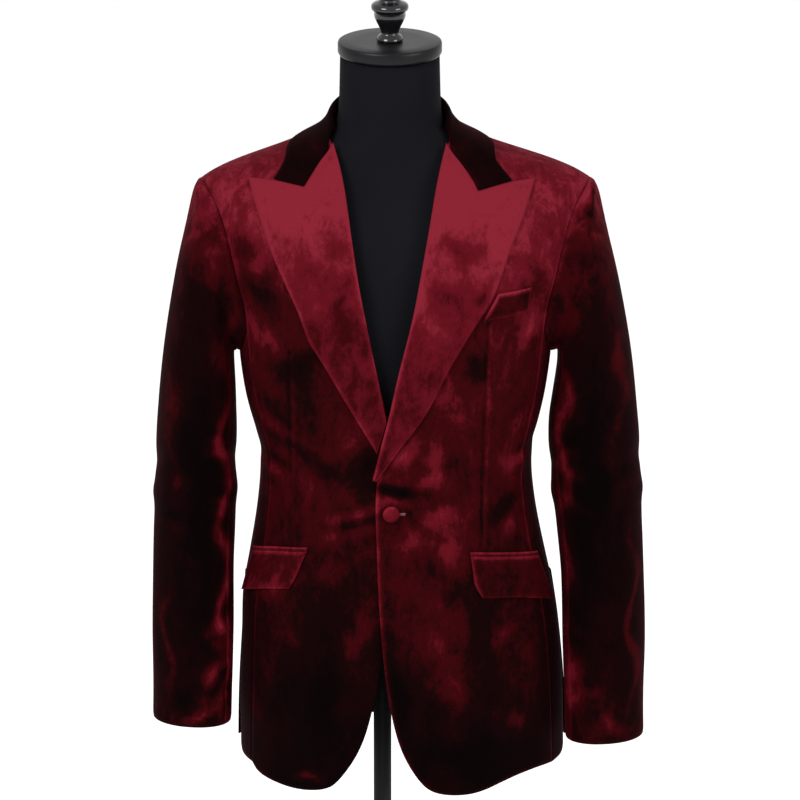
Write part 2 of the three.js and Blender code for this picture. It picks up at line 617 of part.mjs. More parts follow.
// Lapels lie on the fronts and roll over the front's edge.
function makeLapel(side, label) {
  const shape = LAPELS[label];
  const roll = path(shape.roll);
  const edge = path(shape.edge);
  const top = keyed(shape.top.map((spot, index) => [LAPEL_TOP_SHARES[index], ...spot]));
  const foot = (t) => [0, 1].map((axis) => mix(roll(0)[axis], edge(0)[axis], t));
  const flat = patch(foot, top, roll, edge);
  const chart = (u, v) => frontPoints([flat(u, v)])[0];
  const across = [0, 0.08, 0.2, 0.35, 0.45, 0.6, 0.75, 1];
  const lift = (turn, height, u, v) => {
    const away = Math.abs(flat(u, v)[0] - roll(v)[0]);
    const under = label === 'left' ? frontOverlap(turn, height) : 0;
    const curl = LAPEL_ROLL_RISE * bump(away - LAPEL_ROLL_REACH, LAPEL_ROLL_REACH) * ease((v - 0.1) * 4);
    return LAPEL_LIFT + under + curl;
  };
  add(`lapel_${label}`, bodyCloth(chart, across, steps(22), lift), VELVET_LIGHT);
}

// The collar stands up from the neck seam, folds over at its crest and falls outside.
function collarHalf(side, label) {
  const ownTurn = ([turn, height]) => [sideTurn(side, turn), height];
  const frontEdge = frontPoints(COLLAR_EDGE_FRONT[label]);
  const beside = ([sideways, height]) => [sideways + side.sign * 0.9, height + 0.6];
  const gorge = frontPoints(LAPELS[label].top.slice(0, 6).map(beside));
  gorge[0] = ownTurn(COLLAR_CREST[COLLAR_CREST.length - 1]);
  const end = keyed(gorge.map((spot, index) => [COLLAR_END_SHARES[index], ...spot]));
  const seam = chartPath(COLLAR_SEAM.map(ownTurn));
  const crest = chartPath(COLLAR_CREST.map(ownTurn));
  const edge = chartPath([...COLLAR_EDGE.map(ownTurn), ...frontEdge.slice(0, 1), gorge[5]]);
  const fall = (s, w) => [0, 1].map((axis) => {
    const bend = end(w)[axis] - mix(end(0)[axis], end(1)[axis], w);
    return mix(crest(s)[axis], edge(s)[axis], w) + bend * s ** COLLAR_END_FADE;
  });
  return (s, w) => {
    if (w < 0) {
      const [a, b] = [seam(s), crest(s)];
      const [turn, height] = [0, 1].map((axis) => mix(b[axis], a[axis], -w));
      return bodySpot(turn, height, 0);
    }
    const [turn, height] = fall(s, w);
    const over = mix(COLLAR_LIFT, COLLAR_FOLD_LIFT, (1 - w) ** 2) * ease((w + 0.05) * 8);
    return bodySpot(turn, height, over);
  };
}

function makeCollar() {
  const left = collarHalf(SIDES.left, 'left');
  const right = collarHalf(SIDES.right, 'right');
  const across = [-1, -0.5, -0.08, 0.05, 0.18, 0.35, 0.6, 0.72, 1];
  const half = steps(12);
  const stations = [...half.slice(1).reverse().map((s) => [right, s]), ...half.map((s) => [left, s])];
  const grid = stations.map(([at, s]) => across.map((w) => at(s, w)));
  const rows = grid.map((row, i) => row.map((spot, j) => ({ point: spot.point, normal: gridNormal(grid, i, j) })));
  add('collar', wall(rows), VELVET_DARK);
}

function gridNormal(grid, i, j) {
  const clampedRow = (index) => grid[clamp(index, 0, grid.length - 1)];
  const along = clampedRow(i + 1)[j].point.clone().sub(clampedRow(i - 1)[j].point);
  const row = grid[i];
  const nextPoint = row[clamp(j + 1, 0, row.length - 1)].point;
  const across = nextPoint.clone().sub(row[clamp(j - 1, 0, row.length - 1)].point);
  return along.cross(across).normalize();
}

function strip(top, foot) {
  return patch(foot, top, legs([foot(0), top(0)]), legs([foot(1), top(1)]));
}

function makeBreastWelt() {
  const top = legs(frontPoints(BREAST_WELT.top));
  const foot = legs(frontPoints(BREAST_WELT.foot));
  add('breast_welt', bodyCloth(strip(top, foot), steps(4), steps(2), () => RESTING_LIFT), VELVET_LIGHT);
}

function makeFlap(label) {
  const shape = FLAPS[label];
  const topLine = frontPoints(shape.top);
  const lowered = (drop) => topLine.map(([turn, height]) => [turn, height - drop]);
  const welt = strip(legs(topLine), legs(lowered(shape.welt)));
  add(`hip_welt_${label}`, bodyCloth(welt, steps(6), steps(1), () => RESTING_LIFT), VELVET_LIGHT);
  const footLine = legs(frontPoints(shape.foot));
  const flap = strip(legs(lowered(shape.welt + SEAM_GAP)), footLine);
  const lift = (turn, height, u, v) => RESTING_LIFT + (1 - v) * mix(1, 5, u ** 2);
  add(`hip_flap_${label}`, bodyCloth(flap, steps(8), steps(4), lift), VELVET);
}

function lathe(profile, segments) {
  const points = profile.map(([radius, height]) => new THREE.Vector2(radius, height));
  return new THREE.LatheGeometry(points, segments).rotateX(Math.PI / 2);
}

function makeButton() {
  const turn = turnAt(BUTTON_SIDEWAYS, BUTTON_HEIGHT);
  const { point, normal } = bodySpot(turn, BUTTON_HEIGHT, OVERLAP_LIFT + HALF_CLOTH + 0.7);
  const profile = [[0, 0], [5, 0], [8.5, 1], [BUTTON_RADIUS, 2.6], [9.2, 4.4], [5.5, 5.4], [0, 5.7]];
  const button = add('button', lathe(profile, 20), VELVET_LIGHT);
  button.quaternion.setFromUnitVectors(new THREE.Vector3(0, 0, 1), normal);
  button.position.copy(point);
}

// Closed solid through level rings, with flat ends.
function loft(rings) {
  const count = rings[0].length;
  const positions = rings.flat().flatMap((point) => point.toArray());
  const faces = [];
  for (let i = 0; i < rings.length - 1; i += 1) {
    for (let j = 0; j < count; j += 1) {
      const next = (j + 1) % count;
      const [a, b] = [i * count + j, i * count + next];
      faces.push(a, b, b + count, a, b + count, a + count);
    }
  }
  for (const [ring, turned] of [[0, true], [rings.length - 1, false]]) {
    const centre = rings[ring].reduce((sum, point) => sum.add(point), new THREE.Vector3()).divideScalar(count);
    const middle = positions.length / 3;
    positions.push(...centre.toArray());
    for (let j = 0; j < count; j += 1) {
      const [a, b] = [ring * count + j, ring * count + ((j + 1) % count)];
      faces.push(...(turned ? [middle, b, a] : [middle, a, b]));
    }
  }
  return closedGeometry(positions, faces);
}

// The form is the body surface drawn in, closer at the shoulders, which carry the coat.
const FORM_RINGS = [
  { height: 880, inset: 34 }, { height: 884, inset: 26 }, { height: 920, inset: 20 }, { height: 970, inset: 15 },
  { height: 1020, inset: 12 }, { height: 1070, inset: 11 }, { height: 1120, inset: 11 }, { height: 1170, inset: 11 },
  { height: 1220, inset: 11 }, { height: 1270, inset: 11 }, { height: 1320, inset: 11 }, { height: 1360, inset: 10 },
  { height: 1390, inset: 12 }, { height: 1407, inset: 13 }, { height: 1415, inset: 13 }, { height: 1421, inset: 11 },
  { height: 1427, inset: 10 }, { height: 1439, inset: 8 }, { height: 1451, inset: 7 }, { height: 1461, inset: 6 },
];
const NECK_RINGS = [
  { height: 1472, radius: 66, depth: 63 }, { height: 1484, radius: 60.5, depth: 58.5 },
  { height: 1510, radius: 59.5, depth: 58 }, { height: NECK_TOP_HEIGHT, radius: NECK_RADIUS, depth: 57 },
];
const NECK_CENTRE = 2.5;
const NECK_LEAN = 4;

function ovalRing(count, height, half, front, back, shift, lean, power) {
  return Array.from({ length: count }, (_, index) => {
    const angle = (index / count) * Math.PI * 2;
    const [across, forward] = [Math.cos(angle), Math.sin(angle)];
    const depth = forward > 0 ? front : back;
    return new THREE.Vector3(
      shift + half * Math.sign(across) * Math.abs(across) ** (2 / power),
      lean - depth * Math.sign(forward) * Math.abs(forward) ** (2 / power),
      height,
    );
  });
}

// Stands a turned piece on the slanted top of the neck.
function seatOnNeck(mesh, above) {
  const tilt = radians(NECK_TILT);
  mesh.rotation.x = tilt;
  mesh.position.set(NECK_CENTRE, NECK_LEAN - Math.sin(tilt) * above, NECK_TOP_HEIGHT + Math.cos(tilt) * above);
}

function makeForm() {
  const count = 32;
  const torso = FORM_RINGS.map(({ height, inset }) => {
    const s = section(height);
    return ovalRing(count, height, s.half - inset, s.front - inset, s.back - inset, s.shift, s.lean, s.power);
  });
  const neck = NECK_RINGS.map(({ height, radius, depth }) => (
    ovalRing(count, height, radius, depth, depth, NECK_CENTRE, NECK_LEAN, 2)));
  for (const point of neck[neck.length - 1]) {
    point.z += (point.y - NECK_LEAN) * Math.tan(radians(NECK_TILT));
  }
  add('form_torso', loft([...torso, ...neck]), FORM_COVER);

  const capProfile = [[0, 0], [CAP_RADIUS - 4, 0], [CAP_RADIUS, 3.5], [CAP_RADIUS, CAP_THICKNESS - 2],
    [CAP_RADIUS - 2, CAP_THICKNESS], [0, CAP_THICKNESS]];
  const cap = add('neck_cap', lathe(capProfile, 32), SATIN_BLACK);
  seatOnNeck(cap, SEAM_GAP);

  const finialProfile = [[0, 0], [15, 0], [15.3, 3], [13.5, 6], [10.4, 8.5], [12, 15], [15.5, 22], [18.5, 30],
    [18.5, 35], [21, 37], [21.8, 40], [21, 43.5], [17, 46], [12, 49], [14, 53], [15.5, 59], [14, 65], [9, 70],
    [0, 72]];
  const finial = add('finial', lathe(finialProfile, 18), GLOSS_BLACK);
  seatOnNeck(finial, CAP_THICKNESS + SEAM_GAP * 2);
}

function makeStand() {
  const rimProfile = [[0, 0], [BASE_RADIUS - 2, 0], [BASE_RADIUS, 2], [BASE_RADIUS, BASE_THICKNESS - 3],
    [BASE_RADIUS - 3, BASE_THICKNESS], [26, BASE_THICKNESS], [24, BASE_THICKNESS + 10], [20, BASE_THICKNESS + 14],
    [0, BASE_THICKNESS + 14]];
  const base = add('base', lathe(rimProfile, 40), POLE_BLACK);
  base.position.set(POLE_SIDEWAYS, 0, 0);
  const poleFoot = BASE_THICKNESS + 14 + SEAM_GAP;
  const poleTop = FORM_HEM_HEIGHT - SEAM_GAP;
  const pole = add('pole', lathe([[0, poleFoot], [POLE_RADIUS, poleFoot], [POLE_RADIUS, poleTop], [0, poleTop]], 24),
    POLE_BLACK);
  pole.position.set(POLE_SIDEWAYS, 0, 0);
}

for (const [label, side] of Object.entries(SIDES)) {
  makeFront(side, label);
  makeSideBody(side, label);
  makeBack(side, label);
  makeSleeve(side, label);
  makeLapel(side, label);
  makeFlap(label);
}
makeCollar();
makeBreastWelt();
makeButton();
makeForm();
makeStand();

export default group;
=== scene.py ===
import math
from collections import namedtuple

import bmesh
import bpy
import numpy as np
from mathutils import Matrix, Vector
from mathutils.bvhtree import BVHTree
from mathutils.kdtree import KDTree


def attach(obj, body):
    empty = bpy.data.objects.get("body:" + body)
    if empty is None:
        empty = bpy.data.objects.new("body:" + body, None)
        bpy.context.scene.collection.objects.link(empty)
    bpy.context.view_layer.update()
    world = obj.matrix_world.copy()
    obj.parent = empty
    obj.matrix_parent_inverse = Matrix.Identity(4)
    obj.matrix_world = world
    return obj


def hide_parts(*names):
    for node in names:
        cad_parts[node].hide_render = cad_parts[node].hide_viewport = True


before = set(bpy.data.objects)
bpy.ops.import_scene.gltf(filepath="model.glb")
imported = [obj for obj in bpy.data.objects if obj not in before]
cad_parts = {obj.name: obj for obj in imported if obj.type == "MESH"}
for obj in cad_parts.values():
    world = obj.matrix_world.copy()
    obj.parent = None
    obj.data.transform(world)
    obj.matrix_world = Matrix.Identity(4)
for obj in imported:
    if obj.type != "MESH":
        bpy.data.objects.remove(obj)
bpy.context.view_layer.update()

# A burgundy velvet blazer with peak lapels on a black dress form. Blender works in metres.
# The sizes and places below are in millimetres, and those times MM are in metres.
MM = 0.001

# The wall of the CAD cloth and how its rim is told, how a copy of it is merged, paired into
# four-sided faces and smoothed, and the turn that counts as a corner
CLOTH = 2 * MM
THROUGH_TOLERANCE = 0.004 * MM
MERGE = 0.001 * MM
PAIR_ACROSS = math.radians(60)
PAIR_SHAPE = math.radians(80)
CORNER_TURN = math.radians(35)
CLOTH_LEVELS = 3

# How deep an edge dips and over what width, how near a neighbour has to be for an edge to be
# drawn to it, and over what width that eases
SEAM_DIP = 0.6
SEAM_REACH = 2.4
SEWN_WITHIN = 4.5
SEWN_EASE = 9

# How far cloth has to face a view for that view's folds and patches to show on it, and over
# what range they come in
FACING_FROM = 0.05
FACING_OVER = 0.5

# A fold's depth at its ends as a share of its middle, and how unevenly it runs
FOLD_END_SHARE = 0.35
FOLD_UNEVEN = 0.12
FOLD_WAVE = 7

# Soft folds of the cloth, seen square on from one side. start and end are (across, height),
# where across is sideways from the front and the back and depth from the left and right.
# deep is negative in a trough, and bow is how far the middle bends off the straight line.
Crease = namedtuple("Crease", "view start end wide bow deep")
BODY_CREASES = [
    Crease("front", (-16, 1061), (48, 1056), 6, -3, -2.4),
    Crease("front", (-10, 1073), (56, 1072), 8, -5, 1.6),
    Crease("front", (-2, 1050), (-66, 1030), 7, 3, -1.5),
    Crease("front", (-6, 1040), (-74, 1020), 7, 3, 1.3),
    Crease("front", (-8, 1028), (-76, 1008), 6, 2, -1.2),
    Crease("front", (14, 1052), (74, 1088), 8, 5, -1.4),
    Crease("front", (20, 1040), (86, 1062), 9, 4, 1.2),
    Crease("front", (18, 1030), (78, 990), 8, -4, -1.5),
    Crease("front", (14, 1024), (60, 970), 8, -3, 1.3),
    Crease("front", (10, 1020), (46, 955), 7, 3, -1.3),
    Crease("front", (-4, 1060), (-26, 1110), 7, -3, -1.3),
    Crease("front", (118, 1262), (112, 992), 2.4, -1, -1.6),
    Crease("front", (-114, 1224), (-114, 1004), 2.4, 1, -1.6),
    Crease("front", (-160, 1090), (-122, 1074), 8, 3, -1.8),
    Crease("front", (-164, 1072), (-130, 1062), 8, 2, 1.5),
    Crease("front", (184, 1106), (150, 1094), 8, 3, -1.8),
    Crease("front", (184, 1086), (142, 1078), 9, 2, 1.5),
    Crease("front", (-172, 1296), (-130, 1236), 12, -7, -2),
    Crease("front", (-160, 1270), (-126, 1205), 12, -6, 1.5),
    Crease("front", (182, 1306), (152, 1240), 12, 7, -2),
    Crease("front", (174, 1275), (146, 1195), 11, 5, 1.4),
    Crease("front", (-160, 1176), (-122, 1126), 10, -5, -1.5),
    Crease("front", (170, 1170), (136, 1128), 10, 5, -1.4),
    Crease("front", (-102, 935), (-88, 730), 22, 6, 2),
    Crease("front", (-50, 940), (-56, 745), 18, -5, -1.8),
    Crease("front", (50, 940), (62, 720), 20, 5, -1.9),
    Crease("front", (92, 930), (98, 730), 20, -6, 1.9),
    Crease("front", (130, 920), (128, 745), 17, 4, -1.5),
    Crease("front", (-146, 930), (-154, 765), 14, 3, -1.6),
    Crease("front", (176, 935), (184, 765), 14, -3, 1.6),
    Crease("front", (-146, 1125), (-102, 1110), 9, 3, 1.2),
    Crease("front", (-70, 800), (-30, 770), 16, 6, 1.2),
    Crease("front", (30, 830), (84, 800), 15, -6, 1.1),
    Crease("back", (-150, 1310), (-84, 1258), 15, -8, -2.4),
    Crease("back", (-146, 1284), (-70, 1222), 14, -7, 1.8),
    Crease("back", (168, 1316), (96, 1262), 15, 9, -2.4),
    Crease("back", (160, 1280), (88, 1214), 13, 6, 1.7),
    Crease("back", (-138, 1098), (-52, 1082), 10, 5, -2.2),
    Crease("back", (-128, 1076), (-40, 1062), 10, 4, 1.8),
    Crease("back", (152, 1104), (66, 1080), 10, -5, -2.2),
    Crease("back", (144, 1080), (54, 1060), 11, -4, 1.9),
    Crease("back", (-80, 960), (-96, 735), 22, 7, 2.2),
    Crease("back", (-40, 980), (-34, 745), 20, -6, -2),
    Crease("back", (46, 970), (58, 730), 22, 6, -2.1),
    Crease("back", (98, 950), (108, 750), 19, -6, 2.2),
    Crease("back", (-60, 1430), (20, 1422), 10, -6, -1.4),
    Crease("left", (-30, 1100), (50, 1086), 11, 4, -1.8),
    Crease("left", (-20, 930), (-26, 735), 15, 4, 1.6),
    Crease("right", (-34, 1094), (46, 1080), 11, -4, -1.8),
    Crease("right", (-14, 930), (-22, 740), 15, -4, 1.6),
]
SLEEVE_CREASES = [
    Crease("front", (-234, 773), (-200, 775), 5, 3, 1.4),
    Crease("front", (-218, 820), (-182, 826), 8, 5, 2.2),
    Crease("front", (-226, 803), (-186, 800), 7, -4, -1.8),
    Crease("front", (-220, 866), (-184, 872), 7, 3, 1.5),
    Crease("front", (-212, 890), (-182, 900), 8, -3, -1.4),
    Crease("front", (-220, 1365), (-246, 1160), 14, 6, -1.4),
    Crease("front", (-198, 1330), (-192, 1135), 9, -4, 1.9),
    Crease("front", (-206, 1116), (-180, 1100), 8, 3, -2),
    Crease("front", (-210, 1090), (-180, 1076), 8, 3, 1.6),
    Crease("front", (-210, 1042), (-180, 1026), 8, 3, -2),
    Crease("front", (-212, 1018), (-182, 1004), 8, 2, 1.4),
    Crease("front", (-266, 1016), (-238, 1000), 10, 3, -1.6),
    Crease("front", (-266, 1076), (-232, 1054), 11, 4, -1.8),
    Crease("front", (-214, 1010), (-206, 880), 14, 4, -1.2),
    Crease("front", (-250, 980), (-254, 800), 15, -3, 1),
    Crease("front", (216, 800), (250, 812), 8, 4, -1.7),
    Crease("front", (248, 802), (286, 760), 10, 5, 2),
    Crease("front", (208, 872), (232, 868), 8, 3, 1.6),
    Crease("front", (222, 1116), (208, 1094), 9, 3, -1.9),
    Crease("front", (208, 1042), (240, 1024), 9, 3, -2),
    Crease("front", (208, 1066), (238, 1050), 9, 3, 1.6),
    Crease("front", (296, 1076), (262, 1054), 11, 4, -1.3),
    Crease("front", (248, 1365), (274, 1160), 14, -5, -1.2),
    Crease("front", (232, 1300), (226, 1110), 12, 4, 1.1),
    Crease("front", (240, 1000), (236, 850), 15, 4, -1.1),
    Crease("front", (276, 980), (282, 800), 15, -3, 1),
    Crease("front", (-214, 1420), (-205, 1388), 4, 1, -1.6),
    Crease("front", (-206, 1410), (-193, 1378), 4.5, 1, 1.5),
    Crease("front", (-200, 1392), (-186, 1364), 4, 1, -1.4),
    Crease("front", (-225, 1412), (-218, 1376), 5, 1, 1.4),
    Crease("front", (228, 1424), (222, 1392), 4, 1, -1.6),
    Crease("front", (218, 1408), (208, 1372), 4.5, -1, 1.5),
    Crease("front", (238, 1418), (234, 1382), 5, 1, 1.5),
    Crease("front", (246, 1412), (244, 1370), 5, 1, -1.4),
    Crease("left", (-58, 1360), (-30, 1338), 7, 3, -1.3),
    Crease("left", (-26, 1400), (-22, 1366), 6, 2, -1.5),
    Crease("left", (-4, 1408), (-4, 1368), 6, 2, 1.5),
    Crease("left", (16, 1408), (18, 1364), 6, 2, -1.5),
    Crease("left", (38, 1400), (42, 1362), 6, 2, 1.4),
    Crease("left", (62, 1374), (50, 1344), 7, 2, -1.3),
    Crease("left", (-60, 1096), (0, 1064), 12, 6, -2.2),
    Crease("left", (-54, 1046), (6, 1022), 12, 6, 2),
    Crease("left", (46, 1092), (-6, 1066), 12, -5, -2),
    Crease("left", (10, 1330), (0, 1140), 20, 7, -2),
    Crease("left", (-40, 980), (-64, 800), 16, 5, 1.9),
    Crease("right", (-56, 1362), (-28, 1340), 7, 3, -1.3),
    Crease("right", (-28, 1402), (-24, 1368), 6, -2, -1.5),
    Crease("right", (-6, 1410), (-8, 1366), 6, 2, 1.5),
    Crease("right", (14, 1408), (14, 1370), 6, -2, -1.5),
    Crease("right", (36, 1402), (42, 1366), 6, 2, 1.4),
    Crease("right", (60, 1376), (48, 1342), 7, 2, -1.3),
    Crease("right", (-62, 1088), (0, 1058), 12, 6, -2.2),
    Crease("right", (-52, 1040), (8, 1016), 12, 6, 2),
    Crease("right", (44, 1086), (-4, 1060), 12, -5, -2),
    Crease("right", (14, 1330), (2, 1150), 20, -7, -2),
    Crease("right", (-36, 990), (-60, 810), 16, -5, 1.9),
    Crease("back", (-262, 1096), (-210, 1072), 11, 5, -2.2),
    Crease("back", (-258, 1062), (-206, 1046), 11, 4, 1.9),
    Crease("back", (-256, 1020), (-214, 1008), 12, 4, -1.7),
    Crease("back", (-238, 1320), (-228, 1140), 18, 7, -2),
    Crease("back", (-240, 960), (-232, 800), 16, -6, 1.7),
    Crease("back", (286, 1100), (232, 1072), 11, -5, -2.2),
    Crease("back", (282, 1064), (228, 1044), 11, -4, 1.9),
    Crease("back", (280, 1024), (238, 1006), 12, -4, -1.7),
    Crease("back", (262, 1320), (256, 1150), 18, -7, -2),
    Crease("back", (266, 960), (260, 800), 16, 6, 1.7),
]

# Painted light at each height, upper parts lighter and lower parts darker, from 0 where the velvet looks
# almost black to 1 where it looks lit, and the most that this with the pile's patches, painted edge
# highlights and painted fold shade may reach
PAINTED_LIGHT_HEIGHTS = [690, 740, 800, 870, 950, 1040, 1120, 1200, 1260, 1330, 1400, 1480]
BODY_PAINTED_LIGHT = [0.06, 0.08, 0.15, 0.25, 0.31, 0.37, 0.40, 0.42, 0.48, 0.68, 0.84, 0.74]
SLEEVE_PAINTED_LIGHT = [0.32, 0.30, 0.20, 0.13, 0.11, 0.11, 0.13, 0.18, 0.28, 0.44, 0.78, 0.90]
PILE_AND_LIGHT_MOST = 1.15

# The direction of the painted light, how strongly each fold is painted lighter on its side towards it and
# darker on the other, and how far from an edge the painted edge highlight reaches
PAINTED_LIGHT_FROM = (-0.45, -0.25, 0.85)
FOLD_PAINTED_SHADE = 1.15
EDGE_HIGHLIGHT_REACH = 3.5

# How strong the patches of brushed pile are, and how far and how they wander from plain ovals
PATCH_STRENGTH = 1.2
PATCH_DRIFT = 7
DRIFT_WAVES = (17, 23, 13)
DRIFT_BEND = 29

# Soft oval patches, seen as the folds are, with lean in degrees from upright. Some are the crushed pile's
# own light and dark patches; others are painted light and shade, such as the painted shade of the fold
# above the button and the painted highlights along the sleeves' inner edges
Patch = namedtuple("Patch", "view across up wide tall lean gain")
BODY_PATCHES = [
    Patch("front", -90, 1330, 19, 14, 20, -0.16),
    Patch("front", -66, 1355, 12, 10, 0, -0.16),
    Patch("front", -50, 1290, 10, 48, 12, -0.18),
    Patch("front", -102, 1395, 35, 24, 10, 0.10),
    Patch("front", -150, 1340, 8, 48, -18, 0.08),
    Patch("front", -164, 1345, 13, 15, 30, -0.24),
    Patch("front", -146, 1300, 15, 18, -30, -0.2),
    Patch("front", -146, 1240, 18, 24, -20, 0.14),
    Patch("front", -100, 1205, 23, 24, 30, -0.24),
    Patch("front", -50, 1125, 16, 24, 0, 0.14),
    Patch("front", -72, 1028, 23, 10, 70, 0.20),
    Patch("front", -42, 1040, 19, 7, 80, 0.20),
    Patch("front", -70, 1090, 35, 15, 10, -0.18),
    Patch("front", -18, 1088, 13, 24, 10, -0.24),
    Patch("front", -100, 1075, 12, 40, 0, 0.07),
    Patch("front", 96, 1408, 35, 28, 0, 0.12),
    Patch("front", 76, 1352, 22, 12, 10, -0.26),
    Patch("front", 50, 1262, 14, 34, -15, 0.14),
    Patch("front", 78, 1296, 20, 16, 20, -0.16),
    Patch("front", 130, 1330, 19, 31, -15, 0.16),
    Patch("front", 116, 1296, 10, 8, 0, -0.18),
    Patch("front", 156, 1258, 13, 36, -10, 0.14),
    Patch("front", 100, 1220, 20, 13, 30, -0.24),
    Patch("front", 72, 1165, 22, 20, 20, 0.18),
    Patch("front", 20, 1112, 14, 12, 0, 0.26),
    Patch("front", 60, 1090, 25, 11, 80, 0.32),
    Patch("front", 146, 1090, 9, 30, 10, 0.22),
    Patch("front", 128, 1180, 19, 19, 0, 0.10),
    Patch("front", 132, 1030, 21, 17, 0, -0.20),
    # Painted shade of the fold that bulges above the button
    Patch("front", 16, 1060, 34, 7, 2, -0.30),
    Patch("front", 50, 1026, 23, 16, 20, 0.24),
    Patch("front", 80, 990, 26, 26, -30, 0.22),
    Patch("front", 24, 1002, 15, 17, 0, 0.18),
    Patch("front", 148, 1008, 9, 17, 0, 0.20),
    Patch("front", 38, 925, 19, 36, -15, 0.18),
    Patch("front", 60, 875, 21, 26, -20, 0.16),
    Patch("front", 144, 880, 11, 9, 0, 0.20),
    Patch("front", 72, 820, 28, 30, -10, 0.16),
    Patch("front", 160, 776, 13, 13, 20, 0.24),
    Patch("front", 108, 735, 46, 22, 0, -0.14),
    Patch("front", 8, 830, 14, 48, -8, -0.16),
    Patch("front", -146, 935, 16, 13, 0, 0.26),
    Patch("front", -34, 885, 15, 22, 0, 0.20),
    Patch("front", -62, 965, 19, 14, 0, 0.14),
    Patch("front", -100, 815, 46, 46, 0, -0.12),
    Patch("front", -102, 703, 16, 5, 0, 0.34),
    Patch("front", -150, 775, 10, 60, 0, 0.10),
    Patch("front", -172, 1440, 24, 14, 20, -0.08),
    Patch("front", -134, 1290, 30, 60, -20, -0.14),
    Patch("front", -110, 1150, 40, 40, 0, -0.12),
    Patch("front", 110, 950, 60, 40, 0, -0.10),
    Patch("front", -60, 900, 30, 70, 0, -0.08),
    Patch("front", -84, 1457, 12, 8, 40, 0.16),
    Patch("front", 86, 1457, 14, 8, -40, 0.16),
    Patch("front", 184, 1440, 40, 9, -20, -0.10),
    Patch("back", -90, 1340, 40, 30, 30, 0.10),
    Patch("back", 70, 1290, 30, 40, -30, -0.20),
    Patch("back", 110, 1380, 40, 24, 10, 0.10),
    Patch("back", -60, 1210, 26, 40, 10, -0.18),
    Patch("back", 30, 1150, 30, 24, 60, 0.20),
    Patch("back", -100, 1100, 30, 12, 80, 0.20),
    Patch("back", 96, 1040, 26, 20, 20, -0.16),
    Patch("back", -40, 980, 26, 30, 0, 0.20),
    Patch("back", 110, 900, 22, 44, 0, 0.18),
    Patch("back", -110, 860, 26, 30, 0, -0.10),
    Patch("back", 40, 790, 36, 26, 20, 0.12),
    Patch("left", 0, 1080, 26, 40, 0, -0.16),
    Patch("left", 0, 880, 20, 60, 0, 0.10),
    Patch("right", 0, 1080, 26, 40, 0, -0.16),
    Patch("right", 0, 880, 20, 60, 0, 0.10),
]
SLEEVE_PATCHES = [
    Patch("front", -222, 1290, 22, 66, -8, -0.16),
    Patch("front", -258, 1150, 11, 150, -5, 0.16),
    Patch("front", -226, 1065, 22, 140, 0, -0.10),
    # Painted highlights along the inner edge of the sleeve on this side, with a thin painted shade beside
    # them
    Patch("front", -194, 950, 6, 190, 0, 0.46),
    Patch("front", -187, 1165, 6, 84, 2, 0.36),
    Patch("front", -184, 905, 3, 200, 0, -0.2),
    Patch("front", -216, 821, 14, 9, 80, 0.42),
    Patch("front", -206, 866, 12, 6, 80, 0.30),
    Patch("front", -218, 776, 17, 5, 0, 0.44),
    Patch("front", -240, 800, 12, 16, 0, -0.12),
    Patch("front", -262, 870, 5, 60, 0, 0.22),
    Patch("front", -206, 1404, 13, 12, 20, 0.26),
    Patch("front", 232, 1400, 9, 12, 0, 0.28),
    Patch("front", 228, 1372, 7, 7, 0, -0.30),
    Patch("front", 246, 1330, 18, 60, 8, -0.10),
    Patch("front", 274, 1170, 9, 120, 5, 0.16),
    Patch("front", 240, 1060, 22, 130, 0, -0.12),
    # Painted highlights along the inner edge of the other sleeve
    Patch("front", 206, 1120, 8, 130, 0, 0.40),
    Patch("front", 210, 900, 6, 120, 0, 0.22),
    Patch("front", 216, 806, 12, 36, 0, 0.30),
    Patch("front", 224, 784, 13, 14, 0, 0.16),
    Patch("front", 270, 776, 18, 7, 60, 0.30),
    Patch("front", 290, 880, 5, 110, 0, 0.28),
    Patch("left", -30, 1280, 16, 60, 10, -0.10),
    Patch("left", 20, 1200, 14, 90, 5, 0.24),
    Patch("left", 0, 1030, 20, 70, 10, 0.16),
    Patch("left", -50, 840, 16, 60, 10, 0.20),
    Patch("right", -26, 1270, 16, 60, 10, -0.10),
    Patch("right", 24, 1190, 14, 90, 5, 0.24),
    Patch("right", 4, 1020, 20, 70, 10, 0.16),
    Patch("right", -44, 850, 16, 60, 10, 0.20),
    Patch("back", -240, 1250, 18, 80, 0, 0.20),
    Patch("back", -226, 1060, 22, 24, 20, 0.24),
    Patch("back", -238, 880, 12, 70, 0, 0.16),
    Patch("back", 262, 1250, 18, 80, 0, 0.20),
    Patch("back", 252, 1056, 22, 24, -20, 0.24),
    Patch("back", 264, 880, 12, 70, 0, 0.16),
]
